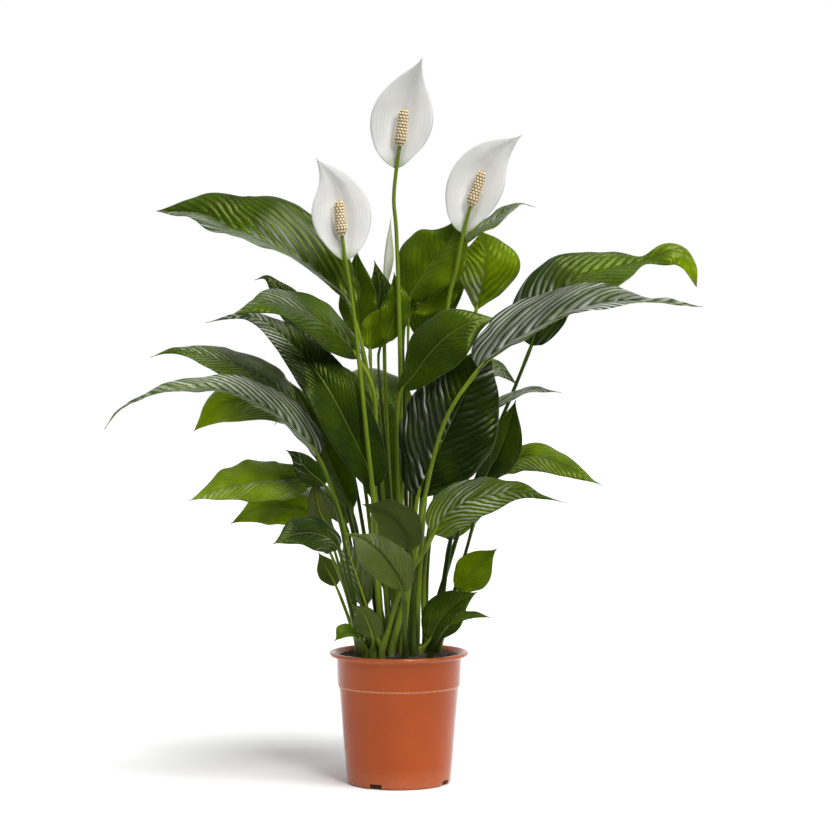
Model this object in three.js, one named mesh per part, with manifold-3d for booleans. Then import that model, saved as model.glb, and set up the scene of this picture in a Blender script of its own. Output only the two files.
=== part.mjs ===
// A peace lily in a round nursery pot: the pot, its soil, the leaves on their stalks and four blooms.
// Millimetres, +Z up, origin at the middle of the pot's base, the side that was photographed faces -Y.

import * as THREE from 'three';
import { mergeVertices } from 'three/addons/utils/BufferGeometryUtils.js';
import Module from 'manifold-3d';

const wasm = await Module();
wasm.setup();

// ---------- driving dimensions ----------

const gap = 0.3; // left between pieces that touch

const pot = {
  height: 161,
  rimRadius: 85, // outside of the rolled lip
  lipHeight: 5.4,
  wallTop: 76.6, // outside of the wall under the lip
  stepHeight: 119, // a shallow step runs round the wall
  stepDepth: 1.6,
  wallAtStep: 75.3,
  baseRadius: 63.5,
  corner: 3, // the base's rounded edge
  wall: 2,
  floor: 2.5,
  sides: 44,
};
// The rolled lip's section, from under the lip, outside, over the top and down the inside: how far in
// from the rim's radius and how far down from the pot's top each point lies.
const lipSection = [[1, 5.4], [0, 4.2], [0, 2.4], [1.4, 0.6], [3.4, 0], [5.3, 0.8]];
const notch = { count: 4, first: -116, width: 16, height: 6.5, depth: 9 }; // drain notches in the base edge

const soil = { edge: 155.5, crown: 7, lump: 1.6, rings: 3, sides: 30 };
const root = { sunk: 144, collar: 167, radius: 3.6 }; // each stalk stands in a plain hole

const blade = { thickness: 0.7, arch: 0.45, waveWidth: 80, rollSpan: 0.075 };
// A leaf's stalk: its radius where the blade starts, and the rib it runs on as under the blade.
const petiole = { small: 1.5, large: 2.2, rib: 1.6, ribEnd: 0.3 };
const shortLeaf = 60; // leaves narrower than this take the short rows and the small stalk
const longRows = [0, 0.04, 0.13, 0.26, 0.41, 0.57, 0.73, 0.88, 1];
const shortRows = [0, 0.06, 0.2, 0.4, 0.62, 0.84, 1];
const across = [-1, -0.5, 0, 0.5, 1]; // from one edge over the midrib to the other

// Each leaf: its root on the soil (x, y), points up its stalk, the base of its blade, points along its
// midrib, its width, the way its upper face looks (from base to tip), how far each half folds up from
// the midrib in degrees (base, tip), the waves of its edge (count, height, phase), and its outline's
// shape (how far up it is widest, how finely its tip is drawn out, and for a rolled blade where that is
// and how much of the width it takes).
const leaves = [
  { name: 'leaf_left_1', root: [-14, 4], stem: [[-30, 6, 272], [-34, 6, 468]], base: [-57, 8, 576],
    rib: [[-80, 10, 606], [-122, 18, 639], [-169, 30, 665],
      [-212, 42, 682], [-248, 54, 699], [-303, 68, 703]],
    width: 130, face: [[0, -0.9, 0.4]], left: [90, 56], right: [12, 4], wave: [4, 1, 0],
    shape: [0.46, 0.4] },
  { name: 'leaf_left_2', root: [-10, -39], stem: [[-18, -38, 264]], base: [-30, -34, 363],
    rib: [[-59, -40, 433], [-92, -40, 493], [-132, -28, 539], [-181, -16, 571], [-235, -10, 563]],
    width: 70, face: [[0.3, -1, 0.3], [0.2, -1, 0.4], [0, -0.7, 0.7]], left: [40, 8], right: [34, 8],
    wave: [3, 2.2, 0.1], shape: [0.3, 0.75] },
  { name: 'leaf_left_3', root: [-22, -19], stem: [[-29, -14, 347], [-29, -15, 469]],
    base: [-49, -27, 519],
    rib: [[-66, -42, 542], [-93, -66, 564], [-119, -96, 579], [-152, -136, 584], [-191, -176, 570]],
    width: 72, face: [[0, -0.8, 0.6]], left: [10, 4], right: [10, 4], wave: [3, 2.2, 0.1],
    shape: [0.42, 0.7] },
  { name: 'leaf_left_4', root: [-38, 12], stem: [[-60, 20, 320]], base: [-112, 24, 447],
    rib: [[-150, 18, 483], [-191, 8, 508], [-229, -2, 521], [-269, -10, 530], [-302, -16, 521]],
    width: 62, face: [[0, -0.65, 0.75]], left: [14, 8], right: [12, 5], wave: [3, 2.2, 0.1],
    shape: [0.4, 0.9] },
  { name: 'leaf_left_5', root: [-32, -30], stem: [[-56, -30, 275], [-76, -36, 348]],
    base: [-97, -46, 402],
    rib: [[-123, -58, 434], [-163, -74, 464], [-205, -90, 481], [-251, -104, 484],
      [-292, -114, 477], [-326, -120, 460], [-345, -122, 436]],
    width: 66, face: [[0, -0.75, 0.65]], left: [58, 50], right: [12, 4], wave: [4, 2, 0.3],
    shape: [0.27, 1.2] },
  { name: 'leaf_left_6', root: [-30, 26], stem: [[-67, 28, 295]], base: [-100, 36, 418],
    rib: [[-142, 48, 453], [-186, 62, 467], [-224, 74, 460], [-259, 84, 427]],
    width: 60, face: [[0, -0.85, 0.5]], left: [14, 8], right: [14, 8], wave: [3, 2.2, 0.1],
    shape: [0.6, 0.7] },
  { name: 'leaf_left_7', root: [-50, -4], stem: [[-69, -10, 274]], base: [-104, -22, 365],
    rib: [[-137, -44, 373], [-169, -70, 372], [-209, -102, 365], [-245, -132, 353]],
    width: 74, face: [[0, -0.8, 0.6]], left: [25, 15], right: [10, 4], wave: [4, 2.4, 0.4],
    shape: [0.42, 0.7] },
  { name: 'leaf_left_8', root: [-50, -17], stem: [[-65, -14, 237]], base: [-106, -8, 325],
    rib: [[-133, -2, 337], [-168, 6, 337], [-207, 14, 316]],
    width: 58, face: [[0, -0.8, 0.6]], left: [18, 10], right: [10, 4], wave: [3, 2.2, 0.1],
    shape: [0.42, 0.7] },
  { name: 'leaf_left_9', root: [-43, -38], stem: [[-58, -46, 252], [-73, -54, 335]],
    base: [-88, -62, 367],
    rib: [[-108, -72, 386], [-121, -80, 402], [-134, -86, 411]],
    width: 30, face: [[0, -0.9, 0.3]], left: [14, 8], right: [14, 8], wave: [3, 2.2, 0.1],
    shape: [0.42, 0.7] },
  { name: 'leaf_left_10', root: [-46, -27], stem: [[-64, -36, 239]], base: [-85, -44, 313],
    rib: [[-97, -50, 340], [-101, -56, 378]],
    width: 28, face: [[-0.4, 0.8, 0.3]], left: [14, 8], right: [14, 8], wave: [3, 2.2, 0.1],
    shape: [0.42, 0.7] },
  { name: 'leaf_left_11', root: [-32, -43], stem: [[-56, -56, 229]], base: [-72, -70, 291],
    rib: [[-93, -90, 310], [-119, -114, 313], [-146, -138, 303]],
    width: 56, face: [[0, -0.8, 0.6]], left: [16, 8], right: [12, 4], wave: [3, 2.2, 0.1],
    shape: [0.42, 0.7] },
  { name: 'leaf_left_12', root: [-50, 16], stem: [[-66, 24, 209]], base: [-78, 30, 238],
    rib: [[-88, 34, 257], [-100, 38, 279]],
    width: 28, face: [[-0.3, 0.8, 0.3]], left: [14, 8], right: [14, 8], wave: [3, 2.2, 0.1],
    shape: [0.42, 0.7] },
  { name: 'leaf_left_13', root: [-40, -49], stem: [], base: [-47, -60, 186],
    rib: [[-61, -72, 195], [-76, -84, 183]],
    width: 28, face: [[0, -0.5, 0.8]], left: [14, 8], right: [14, 8], wave: [3, 2.2, 0.1],
    shape: [0.42, 0.7] },
  { name: 'leaf_left_14', root: [-22, 36], stem: [[-55, 44, 368]], base: [-91, 66, 530],
    rib: [[-125, 80, 570], [-148, 90, 601], [-166, 98, 621], [-183, 104, 618]],
    width: 44, face: [[0, -0.6, 0.8]], left: [20, 12], right: [20, 12], wave: [3, 2.2, 0.1],
    shape: [0.42, 0.7] },
  { name: 'leaf_inner_1', root: [-36, -2], stem: [[-45, -4, 273]], base: [-58, -6, 334],
    rib: [[-74, -6, 371], [-96, -6, 420], [-115, -2, 463], [-133, 2, 491]],
    width: 60, face: [[0.4, -0.9, 0.2]], left: [50, 45], right: [8, 4], wave: [3, 2.2, 0.1],
    shape: [0.42, 0.7] },
  { name: 'leaf_inner_2', root: [-10, -12], stem: [[-25, -6, 322]], base: [-40, -4, 438],
    rib: [[-60, -2, 474], [-84, 0, 503], [-106, 2, 527]],
    width: 46, face: [[0, -0.9, 0.4]], left: [14, 8], right: [14, 8], wave: [3, 2.2, 0.1],
    shape: [0.42, 0.7] },
  { name: 'leaf_right_1', root: [34, 20], stem: [[48, 28, 221], [95, 38, 369], [135, 42, 463]],
    base: [164, 44, 535],
    rib: [[181, 46, 582], [212, 52, 612], [258, 58, 629], [308, 62, 641],
      [340, 62, 651], [360, 60, 638], [370, 56, 608]],
    width: 92, face: [[0, -0.8, 0.6], [0, -0.8, 0.6], [0, -0.6, 0.8], [0.3, -1, 0.2]], left: [12, 6],
    right: [50, 0], wave: [3, 2, 0.2], shape: [0.3, 0.15, 0.68, 0.7] },
  { name: 'leaf_right_2', root: [-9, -50], stem: [[19, -52, 277], [27, -60, 333], [54, -76, 441]],
    base: [95, -88, 506],
    rib: [[123, -102, 531], [162, -120, 554], [203, -138, 574],
      [248, -154, 585], [298, -168, 585], [350, -180, 579]],
    width: 104, face: [[-0.2, -0.9, 0.4], [0, -0.8, 0.6], [0, -0.75, 0.65], [0, -0.7, 0.7]], left: [8, 0],
    right: [72, 40], wave: [3, 2, 0.6], shape: [0.3, 0.65, 0.79, 0.5] },
  { name: 'leaf_right_3', root: [20, 26], stem: [[26, 38, 319], [46, 56, 542]], base: [60, 66, 639],
    rib: [[84, 76, 671], [119, 88, 693], [148, 98, 714], [172, 106, 710]],
    width: 50, face: [[0, -0.2, 1]], left: [20, 10], right: [20, 10], wave: [3, 2.2, 0.1],
    shape: [0.42, 0.7] },
  { name: 'leaf_right_4', root: [32, 32], stem: [[38, 38, 294]], base: [66, 50, 468],
    rib: [[91, 58, 502], [123, 66, 507], [149, 72, 485]],
    width: 48, face: [[0, -0.6, 0.8]], left: [14, 8], right: [14, 8], wave: [3, 2.2, 0.1],
    shape: [0.42, 0.7] },
  { name: 'leaf_right_5', root: [48, 17], stem: [[60, 14, 271]], base: [90, 8, 439],
    rib: [[124, 0, 466], [157, -12, 481], [178, -18, 481], [197, -24, 478]],
    width: 38, face: [[0, -0.35, 1]], left: [16, 8], right: [16, 8], wave: [3, 2.2, 0.1],
    shape: [0.42, 0.7] },
  { name: 'leaf_right_6', root: [38, -6], stem: [[69, 0, 236]], base: [104, 4, 366],
    rib: [[120, 2, 400], [133, 0, 434], [143, 0, 469]],
    width: 52, face: [[-0.3, -1, 0.1]], left: [40, 50], right: [8, 4], wave: [3, 2.2, 0.1],
    shape: [0.42, 0.7] },
  { name: 'leaf_right_7', root: [50, 6], stem: [[65, 16, 222]], base: [112, 24, 372],
    rib: [[139, 16, 393], [170, -2, 399], [208, -26, 385], [246, -46, 366]],
    width: 44, face: [[0.1, -0.8, 0.6]], left: [12, 6], right: [12, 6], wave: [3, 2.2, 0.1],
    shape: [0.42, 0.7] },
  { name: 'leaf_right_8', root: [-20, -60], stem: [[4, -80, 246], [30, -86, 289]], base: [42, -90, 311],
    rib: [[56, -98, 334], [78, -108, 350], [105, -120, 359],
      [142, -134, 365], [171, -146, 358], [195, -154, 352]],
    width: 60, face: [[-0.2, -0.9, 0.45], [0, -0.8, 0.6]], left: [10, 4], right: [14, 6], wave: [4, 2, 0.4],
    shape: [0.27, 1.1] },
  { name: 'leaf_right_9', root: [46, -20], stem: [[62, -20, 201]], base: [74, -20, 235],
    rib: [[86, -24, 255], [103, -28, 275], [119, -32, 289]],
    width: 46, face: [[-0.1, -1, 0.2]], left: [10, 4], right: [10, 4], wave: [3, 2.2, 0.1],
    shape: [0.42, 0.7] },
  { name: 'leaf_right_10', root: [27, -38], stem: [], base: [37, -42, 179],
    rib: [[50, -47, 204], [69, -52, 225], [95, -56, 239]],
    width: 50, face: [[-0.2, -0.9, 0.3]], left: [30, 40], right: [8, 4], wave: [3, 2.2, 0.1],
    shape: [0.42, 0.7] },
  { name: 'leaf_right_11', root: [39, -47], stem: [], base: [52, -68, 192],
    rib: [[61, -82, 206], [77, -94, 214], [94, -104, 216], [109, -112, 214]],
    width: 24, face: [[0, -0.5, 0.8]], left: [16, 8], right: [16, 8], wave: [3, 2.2, 0.1],
    shape: [0.42, 0.7] },
  { name: 'leaf_mid_1', root: [4, -38], stem: [[16, -28, 275]], base: [23, -26, 351],
    rib: [[40, -32, 391], [60, -36, 435], [81, -38, 479], [101, -36, 524], [113, -30, 548]],
    width: 118, face: [[-0.1, -1, 0.1]], left: [8, 2], right: [8, 2], wave: [4, 2, 0.2],
    shape: [0.42, 0.7] },
  { name: 'leaf_mid_2', root: [-6, -26], stem: [[-1, -28, 324], [-2, -40, 433]], base: [2, -48, 477],
    rib: [[19, -56, 500], [38, -62, 526], [62, -64, 549], [88, -62, 563], [118, -54, 568]],
    width: 72, face: [[-0.2, -0.9, 0.4]], left: [10, 6], right: [10, 4], wave: [3, 2.2, 0.1],
    shape: [0.52, 0.7] },
  { name: 'leaf_top_1', root: [10, 2], stem: [[9, 8, 321], [6, 12, 487], [5, 14, 542]],
    base: [12, 16, 589],
    rib: [[30, 19, 622], [47, 22, 646], [63, 26, 667], [73, 30, 694]],
    width: 92, face: [[-0.2, -1, 0.2]], left: [8, 4], right: [26, 34], wave: [3, 2.2, 0.1],
    shape: [0.5, 0.7] },
  { name: 'leaf_top_2', root: [14, 14], stem: [[14, 26, 369]], base: [12, 40, 569],
    rib: [[31, 44, 589], [52, 46, 609], [68, 48, 625], [83, 50, 639]],
    width: 54, face: [[0, -0.8, 0.5]], left: [14, 8], right: [14, 8], wave: [3, 2.2, 0.1],
    shape: [0.55, 0.7] },
  { name: 'leaf_top_3', root: [32, 6], stem: [[32, 14, 271], [63, 24, 443]], base: [95, 20, 579],
    rib: [[102, 16, 609], [107, 14, 638], [105, 18, 660], [101, 28, 677]],
    width: 84, face: [[0, -1, 0.1]], left: [8, 4], right: [8, 4], wave: [3, 2.6, 0.3], shape: [0.56, 0.8] },
  { name: 'leaf_top_4', root: [-20, 18], stem: [[-33, 28, 369]], base: [-47, 39, 542],
    rib: [[-50, 41, 573], [-52, 43, 610], [-53, 45, 656]],
    width: 50, face: [[-0.3, -0.9, 0]], left: [14, 8], right: [14, 8], wave: [3, 2.2, 0.1],
    shape: [0.42, 0.7] },
  { name: 'leaf_top_5', root: [-10, 30], stem: [[-26, 44, 368]], base: [-36, 58, 536],
    rib: [[-30, 62, 570], [-24, 64, 605], [-31, 66, 642]],
    width: 46, face: [[0.3, -0.9, 0.2]], left: [14, 8], right: [14, 8], wave: [3, 2.2, 0.1],
    shape: [0.42, 0.7] },
  { name: 'leaf_top_6', root: [-2, 6], stem: [[-21, 14, 370], [-33, 18, 493]], base: [-36, 20, 530],
    rib: [[-28, 23, 552], [-17, 25, 572], [-6, 27, 586]],
    width: 42, face: [[0, -0.9, 0.3]], left: [14, 8], right: [14, 8], wave: [3, 2.2, 0.1],
    shape: [0.42, 0.7] },
  { name: 'leaf_top_7', root: [0, 20], stem: [[-13, 8, 370], [-25, 2, 515]], base: [-16, -1, 539],
    rib: [[-7, -3, 566], [-2, -2, 593], [-6, 0, 625]],
    width: 38, face: [[0.2, -0.9, 0.1]], left: [10, 8], right: [10, 8], wave: [3, 2.2, 0.1],
    shape: [0.42, 0.7] },
  { name: 'leaf_front_1', root: [8, -60], stem: [[7, -88, 211]], base: [6, -100, 243],
    rib: [[-6, -118, 271], [-23, -142, 296], [-41, -164, 312], [-60, -182, 319]],
    width: 62, face: [[0.3, 0.9, 0.3]], left: [10, 4], right: [10, 4], wave: [3, 2.2, 0.1],
    shape: [0.42, 0.7] },
  { name: 'leaf_front_2', root: [17, -54], stem: [[19, -64, 230]], base: [15, -68, 290],
    rib: [[6, -74, 315], [-10, -78, 333], [-28, -80, 341], [-43, -80, 346]],
    width: 56, face: [[0.3, 0.9, 0.3]], left: [10, 4], right: [10, 4], wave: [3, 2.2, 0.1],
    shape: [0.42, 0.7] },
  { name: 'leaf_front_3', root: [-31, -55], stem: [], base: [-30, -64, 182],
    rib: [[-34, -70, 199], [-43, -76, 217], [-55, -80, 226]],
    width: 36, face: [[0.3, 0.9, 0.2]], left: [10, 4], right: [10, 4], wave: [3, 2.2, 0.1],
    shape: [0.42, 0.7] },
  { name: 'leaf_front_4', root: [-21, -44], stem: [], base: [-39, -36, 220],
    rib: [[-49, -36, 251], [-59, -36, 281], [-66, -36, 306]],
    width: 40, face: [[0.2, 0.9, 0.1]], left: [10, 4], right: [10, 4], wave: [3, 2.2, 0.1],
    shape: [0.42, 0.7] },
  { name: 'leaf_back_1', root: [-26, 48], stem: [[-36, 76, 300]], base: [-52, 106, 400],
    rib: [[-76, 148, 452], [-108, 196, 474], [-140, 238, 462], [-168, 274, 430]],
    width: 84, face: [[0.4, -0.8, 0.5], [0.1, -0.3, 1], [-0.3, 0.5, 1]], left: [12, 6], right: [12, 6],
    wave: [3, 2.2, 0.1], shape: [0.42, 0.7] },
  { name: 'leaf_back_2', root: [4, 54], stem: [[-4, 62, 240]], base: [-12, 70, 325],
    rib: [[-16, 84, 375], [-22, 108, 432], [-30, 146, 486], [-38, 196, 506], [-46, 244, 488]],
    width: 96, face: [[0, -1, 0.3], [0, -0.9, 0.5], [0, 0.1, 1], [0, 0.5, 1]], left: [12, 6],
    right: [12, 6], wave: [3, 2.2, 0.1], shape: [0.42, 0.7] },
  { name: 'leaf_back_3', root: [18, 42], stem: [[30, 70, 320]], base: [44, 102, 440],
    rib: [[58, 142, 492], [78, 190, 514], [98, 232, 506], [116, 270, 480]],
    width: 86, face: [[-0.4, -0.8, 0.5], [-0.1, -0.3, 1], [0.3, 0.5, 1]], left: [12, 6], right: [12, 6],
    wave: [3, 2.2, 0.1], shape: [0.42, 0.7] },
  { name: 'leaf_back_4', root: [-38, 36], stem: [[-50, 58, 230]], base: [-68, 84, 310],
    rib: [[-94, 116, 344], [-124, 150, 352], [-152, 182, 334]],
    width: 72, face: [[0.5, -0.7, 0.5], [0, -0.2, 1], [-0.3, 0.3, 1]], left: [12, 6], right: [12, 6],
    wave: [3, 2.2, 0.1], shape: [0.42, 0.7] },
  { name: 'leaf_back_5', root: [42, 40], stem: [[52, 60, 220]], base: [64, 86, 290],
    rib: [[80, 120, 330], [96, 158, 342], [110, 194, 326]],
    width: 68, face: [[-0.4, -0.8, 0.5], [0, -0.2, 1], [0.2, 0.4, 1]], left: [12, 6], right: [12, 6],
    wave: [3, 2.2, 0.1], shape: [0.42, 0.7] },
  { name: 'leaf_back_6', root: [-8, 62], stem: [], base: [-6, 78, 212],
    rib: [[0, 96, 250], [6, 124, 282], [12, 162, 292], [16, 202, 272]],
    width: 64, face: [[0, -1, 0.4], [0, -0.4, 1], [0, 0.4, 1]], left: [12, 6], right: [12, 6],
    wave: [3, 2.2, 0.1], shape: [0.42, 0.7] },
  { name: 'leaf_back_7', root: [10, 34], stem: [[20, 70, 380]], base: [32, 98, 540],
    rib: [[42, 120, 604], [54, 150, 646], [64, 186, 660], [72, 222, 644]],
    width: 80, face: [[-0.1, -1, 0.4], [-0.1, -0.4, 1], [0.1, 0.4, 1]], left: [12, 6], right: [12, 6],
    wave: [3, 2.2, 0.1], shape: [0.42, 0.7] },
];

// Each bloom: its root, points up its stalk, the axis of its spadix and the midrib of its spathe.
const blooms = [
  { name: 'bloom_left', root: [-20, -31], stem: [[-28, -38, 276], [-30, -46, 343], [-39, -50, 433],
    [-49, -46, 530], [-56, -42, 590], [-65, -40, 644]], top: [-68, -40, 667],
    spadix: [-72, -42, 709], width: 74, face: [[0.15, -1, 0.1]], cup: [32, 12],
    spathe: [[-64, -36.8, 637], [-67, -28, 668], [-72, -24, 704], [-81, -27, 734], [-100, -34, 761]] },
  { name: 'bloom_top', root: [2, -8], stem: [[3, -8, 273], [2, -10, 487], [0, -12, 590],
    [-3, -12, 675], [-6, -12, 712], [-3, -12, 748]], top: [1, -14, 776],
    spadix: [7, -16, 822], width: 78, face: [[-0.1, -1, 0.1]], cup: [30, 12],
    spathe: [[-3, -9.2, 750], [-1, -1, 778], [6, 2, 816], [15, -1, 852], [29, -8, 885]] },
  { name: 'bloom_right', root: [22, -8], stem: [[26, -4, 273], [41, 2, 444], [60, -4, 585],
    [70, -8, 627], [78, -10, 669]], top: [87, -12, 704],
    spadix: [102, -16, 747], width: 74, face: [[-0.3, -1, 0.2]], cup: [30, 12],
    spathe: [[78.5, -6.6, 671], [85, 1, 698], [99, 5, 738], [118, 1, 767], [151, -8, 792]] },
  { name: 'bloom_bud', root: [-2, 42], stem: [[-16, 60, 443], [-19, 80, 554]], top: [-21, 86, 604],
    width: 25, face: [[0.9, -0.45, 0]], cup: [50, 45],
    spathe: [[-21, 86, 604.5], [-19, 86, 639], [-16, 86, 666], [-10, 84, 697]] },
];
const stalk = { radius: 2.3, sides: 6 };
const hood = { foot: 0.9, wave: [1.5, 1.5, 0.3], shape: [0.42, 0.7] }; // the same for each spathe
const spadix = {
  radius: 7.6,
  bump: 0.9, // how far every second point stands proud
  around: 14,
  rows: 15,
  seat: 0.5, // clear of the stalk's end
  foot: 0.3, // the share of its radius that it starts with
  tip: 0.18, // the share it loses towards its tip
  roundFrom: 0.8,
};

const colours = {
  pot: 0xb5562f,
  soil: 0x2f241d,
  leaf: 0x3f6b2a,
  stalk: 0x6f8f3f,
  spathe: 0xf1f1ea,
  spadix: 0xe6dcae,
};

// ---------- closed solids ----------

function solidFrom(positions, triangles) {
  const geometry = new THREE.BufferGeometry();
  geometry.setAttribute('position', new THREE.Float32BufferAttribute(positions, 3));
  geometry.setIndex(triangles);
  if (volumeOf(geometry) < 0) {
    for (let i = 0; i < triangles.length; i += 3) {
      [triangles[i], triangles[i + 1]] = [triangles[i + 1], triangles[i]];
    }
    geometry.setIndex(triangles);
  }
  return geometry;
}

function volumeOf(geometry) {
  const index = geometry.getIndex();
  const position = geometry.getAttribute('position');
  const corner = [0, 1, 2].map(() => new THREE.Vector3());
  let volume = 0;
  for (let i = 0; i < index.count; i += 3) {
    corner.forEach((c, k) => c.fromBufferAttribute(position, index.getX(i + k)));
    volume += corner[0].dot(corner[1].clone().cross(corner[2])) / 6;
  }
  return volume;
}

// Joins rings of equal count into a closed skin. A flat ring (top points first, then the same points
// underneath in reverse) has its cells split alike on both faces.
function loft(rings, flat) {
  const count = rings[0].length;
  const positions = [];
  const triangles = [];
  for (const ring of rings) {
    for (const p of ring) positions.push(p.x, p.y, p.z);
  }
  for (let r = 0; r + 1 < rings.length; r++) {
    for (let k = 0; k < count; k++) {
      const next = (k + 1) % count;
      const a = r * count + k;
      const b = r * count + next;
      const c = b + count;
      const d = a + count;
      if (flat && k >= count / 2) triangles.push(a, b, d, b, c, d);
      else triangles.push(a, b, c, a, c, d);
    }
  }
  closeEnd(triangles, 0, count, flat, false);
  closeEnd(triangles, (rings.length - 1) * count, count, flat, true);
  return solidFrom(positions, triangles);
}

function closeEnd(triangles, start, count, flat, last) {
  const push = (a, b, c) => triangles.push(start + a, start + (last ? b : c), start + (last ? c : b));
  if (!flat) {
    for (let k = 1; k + 1 < count; k++) push(0, k, k + 1);
    return;
  }
  for (let k = 0; k + 1 < count / 2; k++) {
    push(k, k + 1, count - 1 - k);
    push(k + 1, count - 2 - k, count - 1 - k);
  }
}

function toManifold(geometry) {
  const bare = geometry.clone();
  bare.deleteAttribute('normal');
  bare.deleteAttribute('uv');
  const merged = mergeVertices(bare, 1e-4);
  const vertProperties = new Float32Array(merged.getAttribute('position').array);
  const triVerts = new Uint32Array(merged.getIndex().array);
  return new wasm.Manifold(new wasm.Mesh({ numProp: 3, vertProperties, triVerts }));
}

function fromManifold(solid) {
  const mesh = solid.getMesh();
  const geometry = new THREE.BufferGeometry();
  geometry.setAttribute('position', new THREE.BufferAttribute(new Float32Array(mesh.vertProperties), 3));
  geometry.setIndex(Array.from(mesh.triVerts));
  return geometry;
}

// ---------- pot and soil ----------

// LatheGeometry turns about Y, so its result is stood up onto Z.
function turned(profile, sides) {
  const points = profile.map(([r, z]) => new THREE.Vector2(r, z));
  return new THREE.LatheGeometry(points, sides).rotateX(Math.PI / 2);
}

const innerBase = pot.baseRadius - pot.wall;
const innerTop = pot.wallTop - pot.wall;
const lipBottom = pot.height - pot.lipHeight;

function wallInside(z) {
  return innerBase + ((innerTop - innerBase) * (z - pot.floor)) / (lipBottom - pot.floor);
}

function makePot() {
  const profile = [
    [0, 0],
    [pot.baseRadius - pot.corner, 0],
    [pot.baseRadius - pot.corner * 0.25, pot.corner * 0.35],
    [pot.baseRadius, pot.corner],
    [pot.wallAtStep - pot.stepDepth, pot.stepHeight - 1],
    [pot.wallAtStep, pot.stepHeight],
    [pot.wallTop, lipBottom - 2],
    [pot.wallTop + 1, lipBottom],
    ...lipSection.map(([inward, down]) => [pot.rimRadius - inward, pot.height - down]),
    [innerTop + 1.2, lipBottom],
    [innerTop, lipBottom - 3],
    [innerBase, pot.floor],
    [0, pot.floor],
  ];
  let solid = toManifold(turned(profile, pot.sides));
  for (let i = 0; i < notch.count; i++) {
    const angle = THREE.MathUtils.degToRad(notch.first + (360 / notch.count) * i);
    const cutter = new THREE.BoxGeometry(notch.depth * 2, notch.width, notch.height * 2);
    cutter.translate(pot.baseRadius + 1, 0, 0).rotateZ(angle);
    solid = solid.subtract(toManifold(cutter));
  }
  return fromManifold(solid);
}

// Height of the soil: a low mound with lumps that fade out at the wall.
function soilHeight(x, y) {
  const reach = Math.min(Math.hypot(x, y) / wallInside(soil.edge), 1);
  const lumps = Math.sin(x * 0.21 + 1.3) * Math.cos(y * 0.17) + 0.6 * Math.sin(x * 0.09 - y * 0.13);
  return soil.edge + soil.crown * (1 - reach ** 3) + soil.lump * lumps * (1 - reach ** 6);
}

function makeSoil(roots) {
  const base = pot.floor + gap;
  const edge = wallInside(soil.edge) - gap;
  const profile = [[0, base], [wallInside(base) - gap, base]];
  for (let i = 0; i <= soil.rings; i++) profile.push([edge * (1 - i / soil.rings), soil.edge]);
  const body = turned(profile, soil.sides);
  const position = body.getAttribute('position');
  for (let i = 0; i < position.count; i++) {
    if (position.getZ(i) < soil.edge - 1) continue;
    position.setZ(i, soilHeight(position.getX(i), position.getY(i)));
  }
  let solid = toManifold(body);
  const holeSides = 6;
  const holeDepth = 60; // taller than the soil above the stalks' feet
  const radius = (root.radius + gap) / Math.cos(Math.PI / holeSides);
  for (const [x, y] of roots) {
    const hole = new THREE.CylinderGeometry(radius, radius, holeDepth, holeSides).rotateX(Math.PI / 2);
    hole.translate(x, y, root.sunk - gap + holeDepth / 2);
    solid = solid.subtract(toManifold(hole));
  }
  return fromManifold(solid);
}

// ---------- leaves ----------

const lerp = THREE.MathUtils.lerp;

function curveThrough(points) {
  return new THREE.CatmullRomCurve3(points.map((p) => new THREE.Vector3(...p)), false, 'catmullrom', 0.5);
}

// Finds the curve's parameter at a share of the length between two parameters.
function alongFrom(curve, from, to) {
  const steps = 80;
  const marks = [0];
  let last = curve.getPoint(from);
  for (let i = 1; i <= steps; i++) {
    const p = curve.getPoint(lerp(from, to, i / steps));
    marks.push(marks[i - 1] + p.distanceTo(last));
    last = p;
  }
  return (share) => {
    const wanted = share * marks[steps];
    let i = 1;
    while (i < steps && marks[i] < wanted) i++;
    const part = (wanted - marks[i - 1]) / (marks[i] - marks[i - 1]);
    return lerp(from, to, (i - 1 + part) / steps);
  };
}

function blend(list, share) {
  const place = share * (list.length - 1);
  const i = Math.min(Math.floor(place), Math.max(list.length - 2, 0));
  const a = new THREE.Vector3(...list[i]);
  const b = new THREE.Vector3(...list[Math.min(i + 1, list.length - 1)]);
  return a.lerp(b, place - i);
}

function frameAt(curve, t, face) {
  const along = curve.getTangent(t);
  const side = along.clone().cross(face).normalize();
  return { at: curve.getPoint(t), side, up: side.clone().cross(along) };
}

// Half the width of a blade: a rounded base, widest below the middle, drawn out to a fine tip. Some are
// rolled narrower at one place.
function halfWidth(width, share, [widest, taper, rolledAt = 0, rolledBy = 0]) {
  const swing = Math.sin(Math.PI * share ** (Math.log(0.5) / Math.log(widest)));
  const rolled = 1 - rolledBy * Math.exp(-(((share - rolledAt) / blade.rollSpan) ** 2));
  return Math.max((width / 2) * rolled * Math.max(swing, 0) ** (0.75 + taper * share), 0.5);
}

function roundRing(frame, radius, count) {
  const ring = [];
  for (let k = 0; k < count; k++) {
    const angle = Math.PI * (1 - (2 * k + 1) / count);
    const p = frame.at.clone();
    p.addScaledVector(frame.side, radius * Math.cos(angle));
    ring.push(p.addScaledVector(frame.up, radius * Math.sin(angle)));
  }
  return ring;
}

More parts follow.
